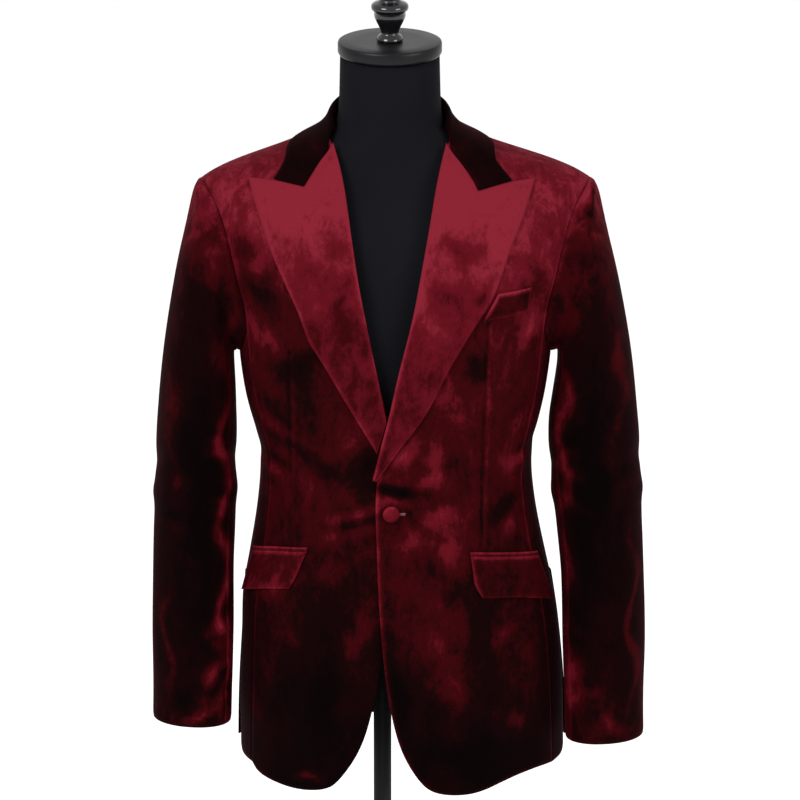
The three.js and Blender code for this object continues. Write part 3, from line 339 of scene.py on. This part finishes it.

# Each piece of cloth: its node, its material slot, whose folds it has, how much lighter its pile and its
# painted light lie, how strong the painted highlight along its edges is, its flat (width, length) in
# metres, its flat area in square metres, and how it is held
Cut = namedtuple("Cut", "node slot folds nap glint flat area held")
CUTS = [
    Cut("front_left", "velvet", "body", 0.02, 0.40, (0.30, 0.80), 0.154, "draped"),
    Cut("front_right", "velvet", "body", 0.0, 0.16, (0.30, 0.80), 0.135, "draped"),
    Cut("side_body_left", "velvet", "body", -0.10, 0.05, (0.145, 0.55), 0.068, "draped"),
    Cut("side_body_right", "velvet", "body", -0.10, 0.05, (0.145, 0.55), 0.068, "draped"),
    Cut("back_left", "velvet", "body", 0.0, 0.10, (0.25, 0.79), 0.166, "draped"),
    Cut("back_right", "velvet", "body", 0.0, 0.10, (0.25, 0.79), 0.165, "draped"),
    Cut("top_sleeve_left", "velvet", "sleeve", 0.0, 0.10, (0.27, 0.69), 0.160, "hung"),
    Cut("top_sleeve_right", "velvet", "sleeve", 0.0, 0.10, (0.27, 0.69), 0.153, "hung"),
    Cut("under_sleeve_left", "velvet", "sleeve", 0.08, 0.14, (0.15, 0.58), 0.060, "hung"),
    Cut("under_sleeve_right", "velvet", "sleeve", 0.08, 0.14, (0.15, 0.58), 0.058, "hung"),
    Cut("lapel_left", "velvet_lapel", "body", 0.16, 0.30, (0.13, 0.42), 0.026, "folded"),
    Cut("lapel_right", "velvet_lapel", "body", 0.14, 0.30, (0.13, 0.39), 0.025, "folded"),
    Cut("collar", "velvet_collar", "body", -0.70, 0.08, (0.42, 0.11), 0.0295, "folded"),
    Cut("breast_welt", "velvet", "body", -0.24, 0.5, (0.062, 0.032), 0.00153, "laid"),
    Cut("hip_welt_left", "velvet", "body", 0.22, 0.20, (0.106, 0.01), 0.00055, "laid"),
    Cut("hip_welt_right", "velvet", "body", 0.22, 0.20, (0.106, 0.01), 0.0005, "laid"),
    Cut("hip_flap_left", "velvet", "body", 0.12, 0.3, (0.106, 0.07), 0.0057, "hung"),
    Cut("hip_flap_right", "velvet", "body", 0.16, 0.3, (0.10, 0.065), 0.0044, "hung"),
]

# Each piece whose edge is drawn up to others, and the pieces that it is sewn to
SEAMS = [
    ("back_right", ["back_left"]),
    ("side_body_left", ["front_left"]),
    ("side_body_right", ["front_right"]),
    ("top_sleeve_left", ["front_left", "back_left", "side_body_left"]),
    ("top_sleeve_right", ["front_right", "back_right", "side_body_right"]),
    ("under_sleeve_left", ["top_sleeve_left", "side_body_left", "back_left", "front_left"]),
    ("under_sleeve_right", ["top_sleeve_right", "side_body_right", "back_right", "front_right"]),
]

# Turned pieces, as (radius, height) from the seat upwards, and the steps round each
CAP_PROFILE = [(0, 0), (56, 0), (59.4, 1.2), (60.8, 3.8), (60.8, 13.4), (60.2, 15.2), (58.6, 16),
               (40, 15.6), (0, 15.4)]
CAP_STEPS = 128
FINIAL_PROFILE = [(0, 0), (14.8, 0), (15.6, 1.2), (15.3, 3), (13.5, 6), (11.2, 7.6), (10.4, 9), (10.8, 12),
                  (12, 15), (13.6, 18.5), (15.5, 22), (17.6, 26.5), (18.5, 30), (18.5, 34.6), (19.6, 36.2),
                  (21, 37), (21.8, 39), (21.8, 41.4), (21, 43.5), (18.6, 45.2), (16.4, 46.2), (12.8, 47.6),
                  (12, 49.4), (12.9, 51.4), (14, 53), (15.2, 56), (15.5, 59), (15.1, 62), (14, 65), (12, 68),
                  (9, 70.2), (5, 71.6), (0, 72)]
FINIAL_STEPS = 64
BASE_PROFILE = [(0, 0), (188, 0), (189.5, 0.6), (190, 2), (190, 8.4), (189.2, 10.8), (187, 12), (30, 12.4),
                (26.6, 13), (25.2, 15), (24, 22), (22.6, 25), (20, 26), (0, 26)]
BASE_STEPS = 160
POLE_PROFILE = [(0, 26.3), (10.2, 26.3), (10.8, 27), (10.8, 879.2), (10.2, 879.7), (0, 879.7)]
POLE_STEPS = 48
BUTTON_PROFILE = [(0, 0), (6, 0), (8.8, 1), (9.9, 2.3), (9.9, 3.1), (9.2, 4), (7.6, 4.8), (5.2, 5.3),
                  (2.6, 5.6), (0, 5.7)]
BUTTON_STEPS = 48
TURNED_MERGE = 0.005 * MM

# The form: its pole's place, the middle of the neck's slanted top, the gap under the cap and
# the finial, and how its cover is smoothed
POLE_SIDEWAYS = -7
NECK_TOP = (2.5, 4, 1556.5)
NECK_TILT = math.radians(5)
SEAT_GAP = 0.3
CAP_THICKNESS = 16
FORM_LEVELS = 2
FORM_EDGE_CREASE = 0.9

# The button: where its back lies, the way it faces, how its pile lies, how strongly its dome is painted
# lighter towards the painted light and darker away from it, and how far round it the cloth stays flat
BUTTON_SEAT = (4.35, -126.43, 1035.37)
BUTTON_FACING = (-0.01, -0.997, 0.073)
BUTTON_NAP = 0.6
BUTTON_PAINTED_SHADE = 0.45
BUTTON_REACH = 15

# The worked buttonhole: its outer end as (sideways, height), its length, half its width, and
# the size and sway of its stitches
BUTTONHOLE = (20.5, 1035.5)
BUTTONHOLE_LENGTH = 17
BUTTONHOLE_HALF = 0.75
BUTTONHOLE_STITCHES = 56
IN_FRONT = -400
STITCH_THICK = 0.34
STITCH_LIFT = 0.12
STITCH_LONG = 2.6
STITCH_LEAN = math.radians(12)
STITCH_SWAY = 2.1

# The camera: the point that it looks at and its distance in metres, its lens and its sensor
CAMERA_TARGET = Vector((0.0143, 0, 1.14))
CAMERA_DISTANCE = 5.0
CAMERA_ELEVATION = math.radians(15)
CAMERA_LENS = 189
SENSOR = 36

# The studio in metres: half the floor's side and its white, the even light, what the two soft
# lamps point at, and each lamp's name, place, size and watts
FLOOR_HALF = 60
FLOOR_STOPS = [(0, (0.90, 0.90, 0.90)), (1, (0.93, 0.93, 0.93))]
WORLD_STRENGTH = 1.05
LAMP_AIM = (0, 0, 1.1)
LAMPS = [
    ("key", (-2.6, -3.2, 3.6), 2.0, 230),
    ("fill", (3.2, -2.6, 2.6), 2.0, 130),
]

# The velvet's colour from the darkest pile and painted shade to the lightest pile and painted light
VELVET_STOPS = [
    (0.0, (0.0006, 0.00004, 0.0001)),
    (0.2, (0.0030, 0.0001, 0.0002)),
    (0.45, (0.018, 0.0003, 0.0009)),
    (0.70, (0.054, 0.0018, 0.0045)),
    (1.0, (0.108, 0.0068, 0.0135)),
]
JERSEY_STOPS = [(0.3, (0.0020, 0.0020, 0.0030)), (0.7, (0.0034, 0.0034, 0.0048))]
THREAD_STOPS = [(0.3, (0.05, 0.003, 0.007)), (0.7, (0.12, 0.009, 0.018))]
BLACK_STOPS = [(0.3, (0.002, 0.002, 0.0025)), (0.75, (0.004, 0.004, 0.005))]
STAND_STOPS = [(0.3, (0.0035, 0.0035, 0.004)), (0.75, (0.0055, 0.0055, 0.006))]


class Value:
    """A value in a material, on which plain sums work."""

    def __init__(self, finish, socket):
        self.finish = finish
        self.socket = socket

    def sum(self, operation, first, second):
        node = self.finish.node("ShaderNodeMath", {"operation": operation}, {0: first, 1: second})
        return Value(self.finish, node.outputs[0])

    def __add__(self, other):
        return self.sum("ADD", self, other)

    def __radd__(self, other):
        return self.sum("ADD", other, self)

    def __sub__(self, other):
        return self.sum("SUBTRACT", self, other)

    def __rsub__(self, other):
        return self.sum("SUBTRACT", other, self)

    def __mul__(self, other):
        return self.sum("MULTIPLY", self, other)

class Finish:
    """A material and the nodes that make it."""

    def __init__(self, name):
        self.material = bpy.data.materials.new(name)
        self.material.use_nodes = True
        self.tree = self.material.node_tree
        self.tree.nodes.clear()

    def node(self, kind, settings=None, inputs=None):
        made = self.tree.nodes.new(kind)
        for key, setting in (settings or {}).items():
            if key == "stops":
                set_stops(made.color_ramp, setting)
            else:
                setattr(made, key, setting)
        for key, given in (inputs or {}).items():
            if isinstance(given, Value):
                self.tree.links.new(given.socket, made.inputs[key])
            else:
                made.inputs[key].default_value = given
        return made

    def value(self, kind, settings=None, inputs=None, output=0):
        return Value(self, self.node(kind, settings, inputs).outputs[output])

    def place(self):
        return self.value("ShaderNodeTexCoord", output="Object")

    def noise(self, place, scale, detail, roughness=0.55, distortion=0.0):
        inputs = {"Vector": place, "Scale": scale, "Detail": detail, "Roughness": roughness,
                  "Distortion": distortion}
        return self.value("ShaderNodeTexNoise", None, inputs)

    def ramp(self, stops, along):
        return self.value("ShaderNodeValToRGB", {"stops": stops}, {"Fac": along})

    def bump(self, strength, distance, height):
        inputs = {"Strength": strength, "Distance": distance, "Height": height}
        return self.value("ShaderNodeBump", None, inputs, "Normal")

    def surface(self, inputs):
        shader = self.value("ShaderNodeBsdfPrincipled", None, inputs)
        self.node("ShaderNodeOutputMaterial", None, {"Surface": shader})
        return self.material


def set_stops(ramp, stops):
    ramp.interpolation = "EASE"
    while len(ramp.elements) < len(stops):
        ramp.elements.new(0.5)
    for element, (position, colour) in zip(ramp.elements, stops):
        element.position = position
        element.color = (*colour, 1)


def velvet(name, mottle):
    """Cut-pile velvet: cloudy crushed patches over the pile and the painted light and shade read at each
    point, with a fine fibre grain.
    """
    finish = Finish(name)
    place = finish.place()
    stretched = finish.value("ShaderNodeMapping", None, {"Vector": place, "Scale": (1, 1, 0.62)})
    clouds = finish.noise(stretched, 38, 6, 0.68, 0.5)
    flecks = finish.noise(stretched, 140, 5, 0.75, 0.4)
    fibres = finish.noise(place, 900, 3, 0.6)
    nap = finish.value("ShaderNodeAttribute", {"attribute_name": "nap"}, None, "Fac")
    strength = nap * 0.75 + 0.26
    crushed = (clouds - 0.5) * strength * (mottle * 2) + (flecks - 0.5) * strength * mottle
    shade = nap + crushed + (fibres - 0.5) * 0.2
    return finish.surface({
        "Base Color": finish.ramp(VELVET_STOPS, shade),
        "Roughness": 0.92 - nap * 0.18,
        "Specular IOR Level": 0.02,
        "Sheen Weight": 0.03,
        "Sheen Roughness": 0.42,
        "Sheen Tint": (0.8, 0.06, 0.12, 1),
        "Normal": finish.bump(0.5, 0.002, clouds * 0.5 + flecks * 0.3 + fibres * 0.2),
    })


def form_jersey():
    """Black knitted cover, matt and a little dusty."""
    finish = Finish("form_jersey")
    place = finish.place()
    cloud = finish.noise(place, 9, 3)
    wave = {"Vector": place, "Scale": 420.0, "Distortion": 1.5, "Detail": 2.0}
    ribs = finish.value("ShaderNodeTexWave", {"bands_direction": "Z"}, wave)
    grain = finish.noise(place, 1300, 2)
    return finish.surface({
        "Base Color": finish.ramp(JERSEY_STOPS, cloud * 0.7 + grain * 0.3),
        "Roughness": 0.72 + cloud * 0.2,
        "Specular IOR Level": 0.05,
        "Normal": finish.bump(0.25, 0.0003, ribs * 0.5 + grain * 0.5),
    })


def lacquer(name, stops, roughness, shine, coat=0.0):
    """Black paint with faint wipe marks and dust."""
    finish = Finish(name)
    place = finish.place()
    cloud = finish.noise(place, 14, 4, 0.6, 0.4)
    dust = finish.noise(place, 700, 2)
    return finish.surface({
        "Base Color": finish.ramp(stops, cloud * 0.8 + dust * 0.2),
        "Roughness": roughness + cloud * 0.12,
        "Specular IOR Level": shine,
        "Coat Weight": coat,
        "Coat Roughness": 0.08,
        "Normal": finish.bump(0.06, 0.0004, cloud),
    })


def thread():
    finish = Finish("buttonhole_thread")
    twist = finish.noise(finish.place(), 1600, 3)
    return finish.surface({
        "Base Color": finish.ramp(THREAD_STOPS, twist),
        "Roughness": 0.5 + twist * 0.2,
        "Sheen Weight": 0.2,
    })


def merged_copy(node):
    """A node's mesh with its doubles merged, ready to edit."""
    mesh = bmesh.new()
    mesh.from_mesh(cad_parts[node].data)
    bmesh.ops.remove_doubles(mesh, verts=mesh.verts, dist=MERGE)
    return mesh


def islands(mesh):
    """Each set of faces that hangs together."""
    left = set(mesh.faces)
    while left:
        stack = [left.pop()]
        found = set(stack)
        while stack:
            for edge in stack.pop().edges:
                fresh = [face for face in edge.link_faces if face in left]
                left.difference_update(fresh)
                found.update(fresh)
                stack.extend(fresh)
        yield found


def outer_layer(mesh):
    """Leaves only the outer side of a wall: the rim's faces cross it, the inner side is smaller."""
    rim = {face for edge in mesh.edges if abs(edge.calc_length() - CLOTH) < THROUGH_TOLERANCE
           for face in edge.link_faces}
    bmesh.ops.delete(mesh, geom=list(rim), context="FACES")
    sides = sorted(islands(mesh), key=lambda faces: sum(face.calc_area() for face in faces))
    spare = [face for faces in sides[:-1] for face in faces]
    bmesh.ops.delete(mesh, geom=spare, context="FACES")
    loose = [vert for vert in mesh.verts if not vert.link_faces]
    bmesh.ops.delete(mesh, geom=loose, context="VERTS")


def pair_triangles(mesh):
    bmesh.ops.join_triangles(mesh, faces=mesh.faces, angle_face_threshold=PAIR_ACROSS,
                             angle_shape_threshold=PAIR_SHAPE)


def keep_corners(mesh):
    """Sharpens each point where the edge of the cloth turns a corner."""
    sharp = mesh.verts.layers.float.new("crease_vert")
    for vert in mesh.verts:
        rims = [edge for edge in vert.link_edges if edge.is_boundary]
        if len(rims) != 2:
            continue
        one, two = (edge.other_vert(vert).co - vert.co for edge in rims)
        if math.pi - one.angle(two) > CORNER_TURN:
            vert[sharp] = 1.0


def to_object(name, mesh):
    data = bpy.data.meshes.new(name)
    mesh.to_mesh(data)
    mesh.free()
    piece = bpy.data.objects.new(name, data)
    bpy.context.scene.collection.objects.link(piece)
    return piece


def smoothed(name, mesh, levels):
    """Subdivides a mesh and returns it as an object."""
    rough = to_object(name + "_rough", mesh)
    subdivide = rough.modifiers.new("smooth", "SUBSURF")
    subdivide.levels = levels
    subdivide.render_levels = levels
    subdivide.boundary_smooth = "PRESERVE_CORNERS"
    graph = bpy.context.evaluated_depsgraph_get()
    data = bpy.data.meshes.new_from_object(rough.evaluated_get(graph))
    data.name = name
    piece = bpy.data.objects.new(name, data)
    bpy.context.scene.collection.objects.link(piece)
    bpy.data.objects.remove(rough)
    return piece


def arrays(data):
    """A mesh's points in millimetres and its outward directions."""
    points = np.empty(len(data.vertices) * 3)
    normals = np.empty(len(data.vertices) * 3)
    data.vertices.foreach_get("co", points)
    data.vertex_normals.foreach_get("vector", normals)
    return points.reshape(-1, 3) / MM, normals.reshape(-1, 3)


def seen_from(view, points, normals):
    """Points as seen square on, and how squarely each faces the viewer."""
    axis, sign = {"front": (1, -1), "back": (1, 1), "left": (0, 1), "right": (0, -1)}[view]
    facing = np.clip((normals[:, axis] * sign - FACING_FROM) / FACING_OVER, 0, 1)
    return points[:, [1 - axis, 2]], facing * facing * (3 - 2 * facing)


def crease_lift(crease, points, normals):
    """How far a fold moves each point outwards: most in its middle, fading to its sides and ends."""
    spots, facing = seen_from(crease.view, points, normals)
    start, end = np.array(crease.start, float), np.array(crease.end, float)
    run = end - start
    length = np.hypot(*run)
    along = (spots - start) @ run / length ** 2
    beside = (spots - start) @ np.array((-run[1], run[0])) / length
    inside = np.clip(along, 0, 1)
    beside = beside - crease.bow * 4 * inside * (1 - inside)
    past = (along - inside) * length
    swell = FOLD_END_SHARE + (1 - FOLD_END_SHARE) * np.sin(np.pi * inside)
    swell += FOLD_UNEVEN * np.sin(FOLD_WAVE * inside + crease.wide)
    return crease.deep * swell * facing * np.exp(-(beside ** 2 + past ** 2) / crease.wide ** 2)


def patch_gain(patch, points, normals):
    """How much lighter a patch makes the pile at each point."""
    spots, facing = seen_from(patch.view, points, normals)
    across, up = (spots - (patch.across, patch.up)).T
    lean = math.radians(patch.lean)
    wide = (across * math.cos(lean) - up * math.sin(lean)) / patch.wide
    tall = (across * math.sin(lean) + up * math.cos(lean)) / patch.tall
    return patch.gain * facing * np.exp(-(wide ** 2 + tall ** 2))


def rim_of(data):
    """The points along the edge of the cloth."""
    uses = np.zeros(len(data.edges), int)
    loops = np.empty(len(data.loops), int)
    data.loops.foreach_get("edge_index", loops)
    np.add.at(uses, loops, 1)
    ends = np.empty(len(data.edges) * 2, int)
    data.edges.foreach_get("vertices", ends)
    return np.unique(ends.reshape(-1, 2)[uses == 1])


def nearest_on_rim(points, rim):
    """Which point of the edge is nearest to each point, and how far off it is."""
    tree = KDTree(len(rim))
    for order, index in enumerate(rim):
        tree.insert(points[index], order)
    tree.balance()
    found = [tree.find(point) for point in points]
    return np.array([order for _, order, _ in found]), np.array([far for _, _, far in found])


def sew(piece, neighbours):
    """Draws the edge of a piece up to its neighbours where a seam joins them."""
    points, _ = arrays(piece.data)
    rim = rim_of(piece.data)
    pull = np.zeros((len(rim), 3))
    for neighbour in neighbours:
        spots = arrays(neighbour.data)[0]
        surface = BVHTree.FromPolygons([Vector(spot) for spot in spots],
                                       [face.vertices for face in neighbour.data.polygons])
        for order, index in enumerate(rim):
            if pull[order].any():
                continue
            met = surface.find_nearest(Vector(points[index]), SEWN_WITHIN)[0]
            if met:
                pull[order] = np.array(met) - points[index]
    order, far = nearest_on_rim(points, rim)
    points += pull[order] * (np.clip(1 - far / SEWN_EASE, 0, 1) ** 2)[:, None]
    piece.data.vertices.foreach_set("co", (points * MM).ravel())
    piece.data.update()


def wander(points):
    """Points shifted in slow waves, so that patches laid on them aren't plain ovals."""
    bend = np.sin(points[:, [1, 2, 2]] / DRIFT_BEND)
    return points + PATCH_DRIFT * np.sin(points[:, [2, 0, 0]] / DRIFT_WAVES + bend)


def dress(piece, cut):
    """Presses the folds into a piece of cloth and lays its pile, with painted light and shade: lighter
    higher up, painted highlights along its edges, painted shade and light in patches and a lit and a shaded
    side to each fold.
    """
    data = piece.data
    points, normals = arrays(data)
    rim = nearest_on_rim(points, rim_of(data))[1]
    body = cut.folds == "body"
    creases, patches, levels = ((BODY_CREASES, BODY_PATCHES, BODY_PAINTED_LIGHT) if body
                                else (SLEEVE_CREASES, SLEEVE_PATCHES, SLEEVE_PAINTED_LIGHT))
    lift = np.zeros(len(points))
    for crease in creases:
        lift += crease_lift(crease, points, normals)
    if body:
        beside = np.hypot(points[:, 0] - BUTTON_SEAT[0], points[:, 2] - BUTTON_SEAT[2])
        lift *= np.where(points[:, 1] < 0, 1 - np.exp(-(beside / BUTTON_REACH) ** 4), 1)
    lift -= SEAM_DIP * np.exp(-(rim / SEAM_REACH) ** 2)
    # Painted light by height: upper parts lighter, lower parts darker, shifted for each piece
    nap = np.interp(points[:, 2], PAINTED_LIGHT_HEIGHTS, levels) + cut.nap
    drifted = wander(points)
    # The pile's patches, some of them painted light and shade
    for patch in patches:
        nap += PATCH_STRENGTH * patch_gain(patch, drifted, normals)
    # Painted highlight along the edges of the cloth
    nap += cut.glint * np.exp(-(rim / EDGE_HIGHLIGHT_REACH) ** 2)
    moved = (points + normals * lift[:, None]) * MM
    data.vertices.foreach_set("co", moved.ravel())
    data.update()
    # Painted shade on the folds: each fold's side turned towards the painted light is lighter, the other
    # darker
    turned_by = arrays(data)[1] - normals
    nap += FOLD_PAINTED_SHADE * (turned_by @ np.array(PAINTED_LIGHT_FROM))
    paint_pile_and_light(data, np.clip(nap, 0, PILE_AND_LIGHT_MOST))


def paint_pile_and_light(data, nap):
    """Writes down the pile and the painted light and shade at each point, for the velvet to read."""
    data.attributes.new("nap", "FLOAT", "POINT").data.foreach_set("value", nap)


def thicken(piece):
    wall = piece.modifiers.new("cloth", "SOLIDIFY")
    wall.thickness = CLOTH
    wall.offset = -1
    wall.use_rim = True


def coat(piece, material):
    """Gives a piece its one material and smooth shading."""
    for face in piece.data.polygons:
        face.use_smooth = True
    piece.data.materials.clear()
    piece.data.materials.append(material)


def finish_piece(piece, node, material, slot):
    """Gives a piece its material and lets it stand for its node."""
    coat(piece, material)
    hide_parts(node)
    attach(piece, "root")


def make_cloth(cut, material):
    """A piece of the blazer: the outer side of its node's wall, smoothed, dressed and thickened."""
    mesh = merged_copy(cut.node)
    outer_layer(mesh)
    pair_triangles(mesh)
    keep_corners(mesh)
    piece = smoothed(cut.node + "_velvet", mesh, CLOTH_LEVELS)
    dress(piece, cut)
    thicken(piece)
    finish_piece(piece, cut.node, material, cut.slot)
    return piece


def turned(name, profile, steps):
    """A piece turned on the upright axis from its profile."""
    mesh = bmesh.new()
    verts = [mesh.verts.new((radius * MM, 0, height * MM)) for radius, height in profile]
    for one, two in zip(verts, verts[1:]):
        mesh.edges.new((one, two))
    bmesh.ops.spin(mesh, geom=mesh.verts[:] + mesh.edges[:], cent=(0, 0, 0), axis=(0, 0, 1),
                   angle=math.tau, steps=steps, use_merge=True)
    bmesh.ops.remove_doubles(mesh, verts=mesh.verts, dist=TURNED_MERGE)
    bmesh.ops.recalc_face_normals(mesh, faces=mesh.faces)
    return to_object(name, mesh)


def on_neck(above):
    """The place of a turned piece this many millimetres above the slanted top of the neck."""
    return (Matrix.Translation(Vector(NECK_TOP) * MM) @ Matrix.Rotation(NECK_TILT, 4, "X")
            @ Matrix.Translation((0, 0, above * MM)))


def make_turned(node, profile, steps, place, material, slot):
    piece = turned(node + "_smooth", profile, steps)
    piece.data.transform(place)
    finish_piece(piece, node, material, slot)


def make_form(material):
    """The form's body and neck, smoothed, with its hard edges kept."""
    mesh = merged_copy("form_torso")
    pair_triangles(mesh)
    hard = mesh.edges.layers.float.new("crease_edge")
    for edge in mesh.edges:
        if len(edge.link_faces) == 2 and edge.calc_face_angle() > CORNER_TURN:
            edge[hard] = FORM_EDGE_CREASE
    finish_piece(smoothed("form_cover", mesh, FORM_LEVELS), "form_torso", material, "form_cover")


def make_button(material):
    """The covered button, a dome on its flat back, faced the way its node faces, with painted light and
    shade on its dome.
    """
    piece = turned("button_covered", BUTTON_PROFILE, BUTTON_STEPS)
    turn = Vector((0, 0, 1)).rotation_difference(Vector(BUTTON_FACING)).to_matrix().to_4x4()
    piece.data.transform(Matrix.Translation(Vector(BUTTON_SEAT) * MM) @ turn)
    # Painted light and shade on the dome: lighter on the side towards the painted light, darker on the other
    lit = BUTTON_NAP + BUTTON_PAINTED_SHADE * (arrays(piece.data)[1] @ np.array(PAINTED_LIGHT_FROM))
    paint_pile_and_light(piece.data, lit)
    finish_piece(piece, "button", material, "velvet_button")


def make_buttonhole(front, material):
    """The worked buttonhole that shows beside the button, a ring of short stitches on the cloth.

    They run inwards along its upper lip and outwards again along its lower one.
    """
    graph = bpy.context.evaluated_depsgraph_get()
    surface = BVHTree.FromObject(front, graph)
    mesh = bmesh.new()
    across, up = BUTTONHOLE
    for step in range(BUTTONHOLE_STITCHES):
        share = step / BUTTONHOLE_STITCHES
        side = 1 if share < 0.5 else -1
        run = (share * 2 % 1) * side + (0 if side == 1 else 1)
        spot = Vector((across - BUTTONHOLE_LENGTH * run, IN_FRONT, up + side * BUTTONHOLE_HALF)) * MM
        hit, normal, _, _ = surface.ray_cast(spot, Vector((0, 1, 0)))
        if hit is None:
            continue
        stitch = bmesh.ops.create_icosphere(mesh, subdivisions=2, radius=STITCH_THICK * MM)["verts"]
        place = Matrix.Translation(hit + normal * STITCH_LIFT * MM)
        lean = Matrix.Rotation(STITCH_LEAN * math.sin(step * STITCH_SWAY), 4, normal)
        shape = Matrix.Diagonal((1, 1, STITCH_LONG, 1))
        bmesh.ops.transform(mesh, verts=stitch, matrix=place @ lean @ shape)
    piece = to_object("buttonhole_stitches", mesh)
    coat(piece, material)
    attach(piece, "root")


def light(name, place, size, power):
    data = bpy.data.lights.new(name, "AREA")
    data.shape = "SQUARE"
    data.size = size
    data.energy = power
    lamp = bpy.data.objects.new(name, data)
    lamp.location = place
    lamp.rotation_euler = (Vector(LAMP_AIM) - Vector(place)).to_track_quat("-Z", "Y").to_euler()
    bpy.context.scene.collection.objects.link(lamp)


def make_floor():
    finish = Finish("studio_floor")
    wear = finish.noise(finish.place(), 3, 3)
    material = finish.surface({"Base Color": finish.ramp(FLOOR_STOPS, wear), "Roughness": 0.85})
    mesh = bmesh.new()
    bmesh.ops.create_grid(mesh, x_segments=1, y_segments=1, size=FLOOR_HALF)
    floor = to_object("floor", mesh)
    floor.data.materials.append(material)


def set_the_scene():
    make_floor()
    world = bpy.data.worlds.new("studio")
    world.use_nodes = True
    backdrop = world.node_tree.nodes["Background"]
    backdrop.inputs["Color"].default_value = (1, 1, 1, 1)
    backdrop.inputs["Strength"].default_value = WORLD_STRENGTH
    bpy.context.scene.world = world
    for name, place, size, power in LAMPS:
        light(name, place, size, power)
    data = bpy.data.cameras.new("camera")
    data.lens = CAMERA_LENS
    data.sensor_width = SENSOR
    camera = bpy.data.objects.new("camera", data)
    back = Vector((0, -math.cos(CAMERA_ELEVATION), math.sin(CAMERA_ELEVATION)))
    camera.location = CAMERA_TARGET + back * CAMERA_DISTANCE
    camera.rotation_euler = (math.pi / 2 - CAMERA_ELEVATION, 0, 0)
    bpy.context.scene.collection.objects.link(camera)
    bpy.context.scene.camera = camera
    bpy.context.scene.view_settings.view_transform = "Standard"


materials = {
    "velvet": velvet("burgundy_velvet", mottle=0.64),
    "velvet_lapel": velvet("lapel_velvet", mottle=0.5),
    "velvet_collar": velvet("collar_velvet", mottle=0.34),
    "velvet_button": velvet("button_velvet", mottle=0.35),
}
jersey = form_jersey()
satin_black = lacquer("satin_black", BLACK_STOPS, roughness=0.3, shine=0.14)
gloss_black = lacquer("gloss_black", BLACK_STOPS, roughness=0.1, shine=0.3, coat=0.3)
stand_black = lacquer("stand_black", STAND_STOPS, roughness=0.4, shine=0.12)

made = {cut.node: make_cloth(cut, materials[cut.slot]) for cut in CUTS}
for node, neighbours in SEAMS:
    sew(made[node], [made[neighbour] for neighbour in neighbours])
make_form(jersey)
make_button(materials["velvet_button"])
make_buttonhole(made["front_left"], thread())
make_turned("neck_cap", CAP_PROFILE, CAP_STEPS, on_neck(SEAT_GAP), satin_black, "satin_black")
on_cap = on_neck(CAP_THICKNESS + 2 * SEAT_GAP)
make_turned("finial", FINIAL_PROFILE, FINIAL_STEPS, on_cap, gloss_black, "gloss_black")
foot = Matrix.Translation((POLE_SIDEWAYS * MM, 0, 0))
make_turned("base", BASE_PROFILE, BASE_STEPS, foot, stand_black, "stand_black")
make_turned("pole", POLE_PROFILE, POLE_STEPS, foot, stand_black, "stand_black")
set_the_scene()
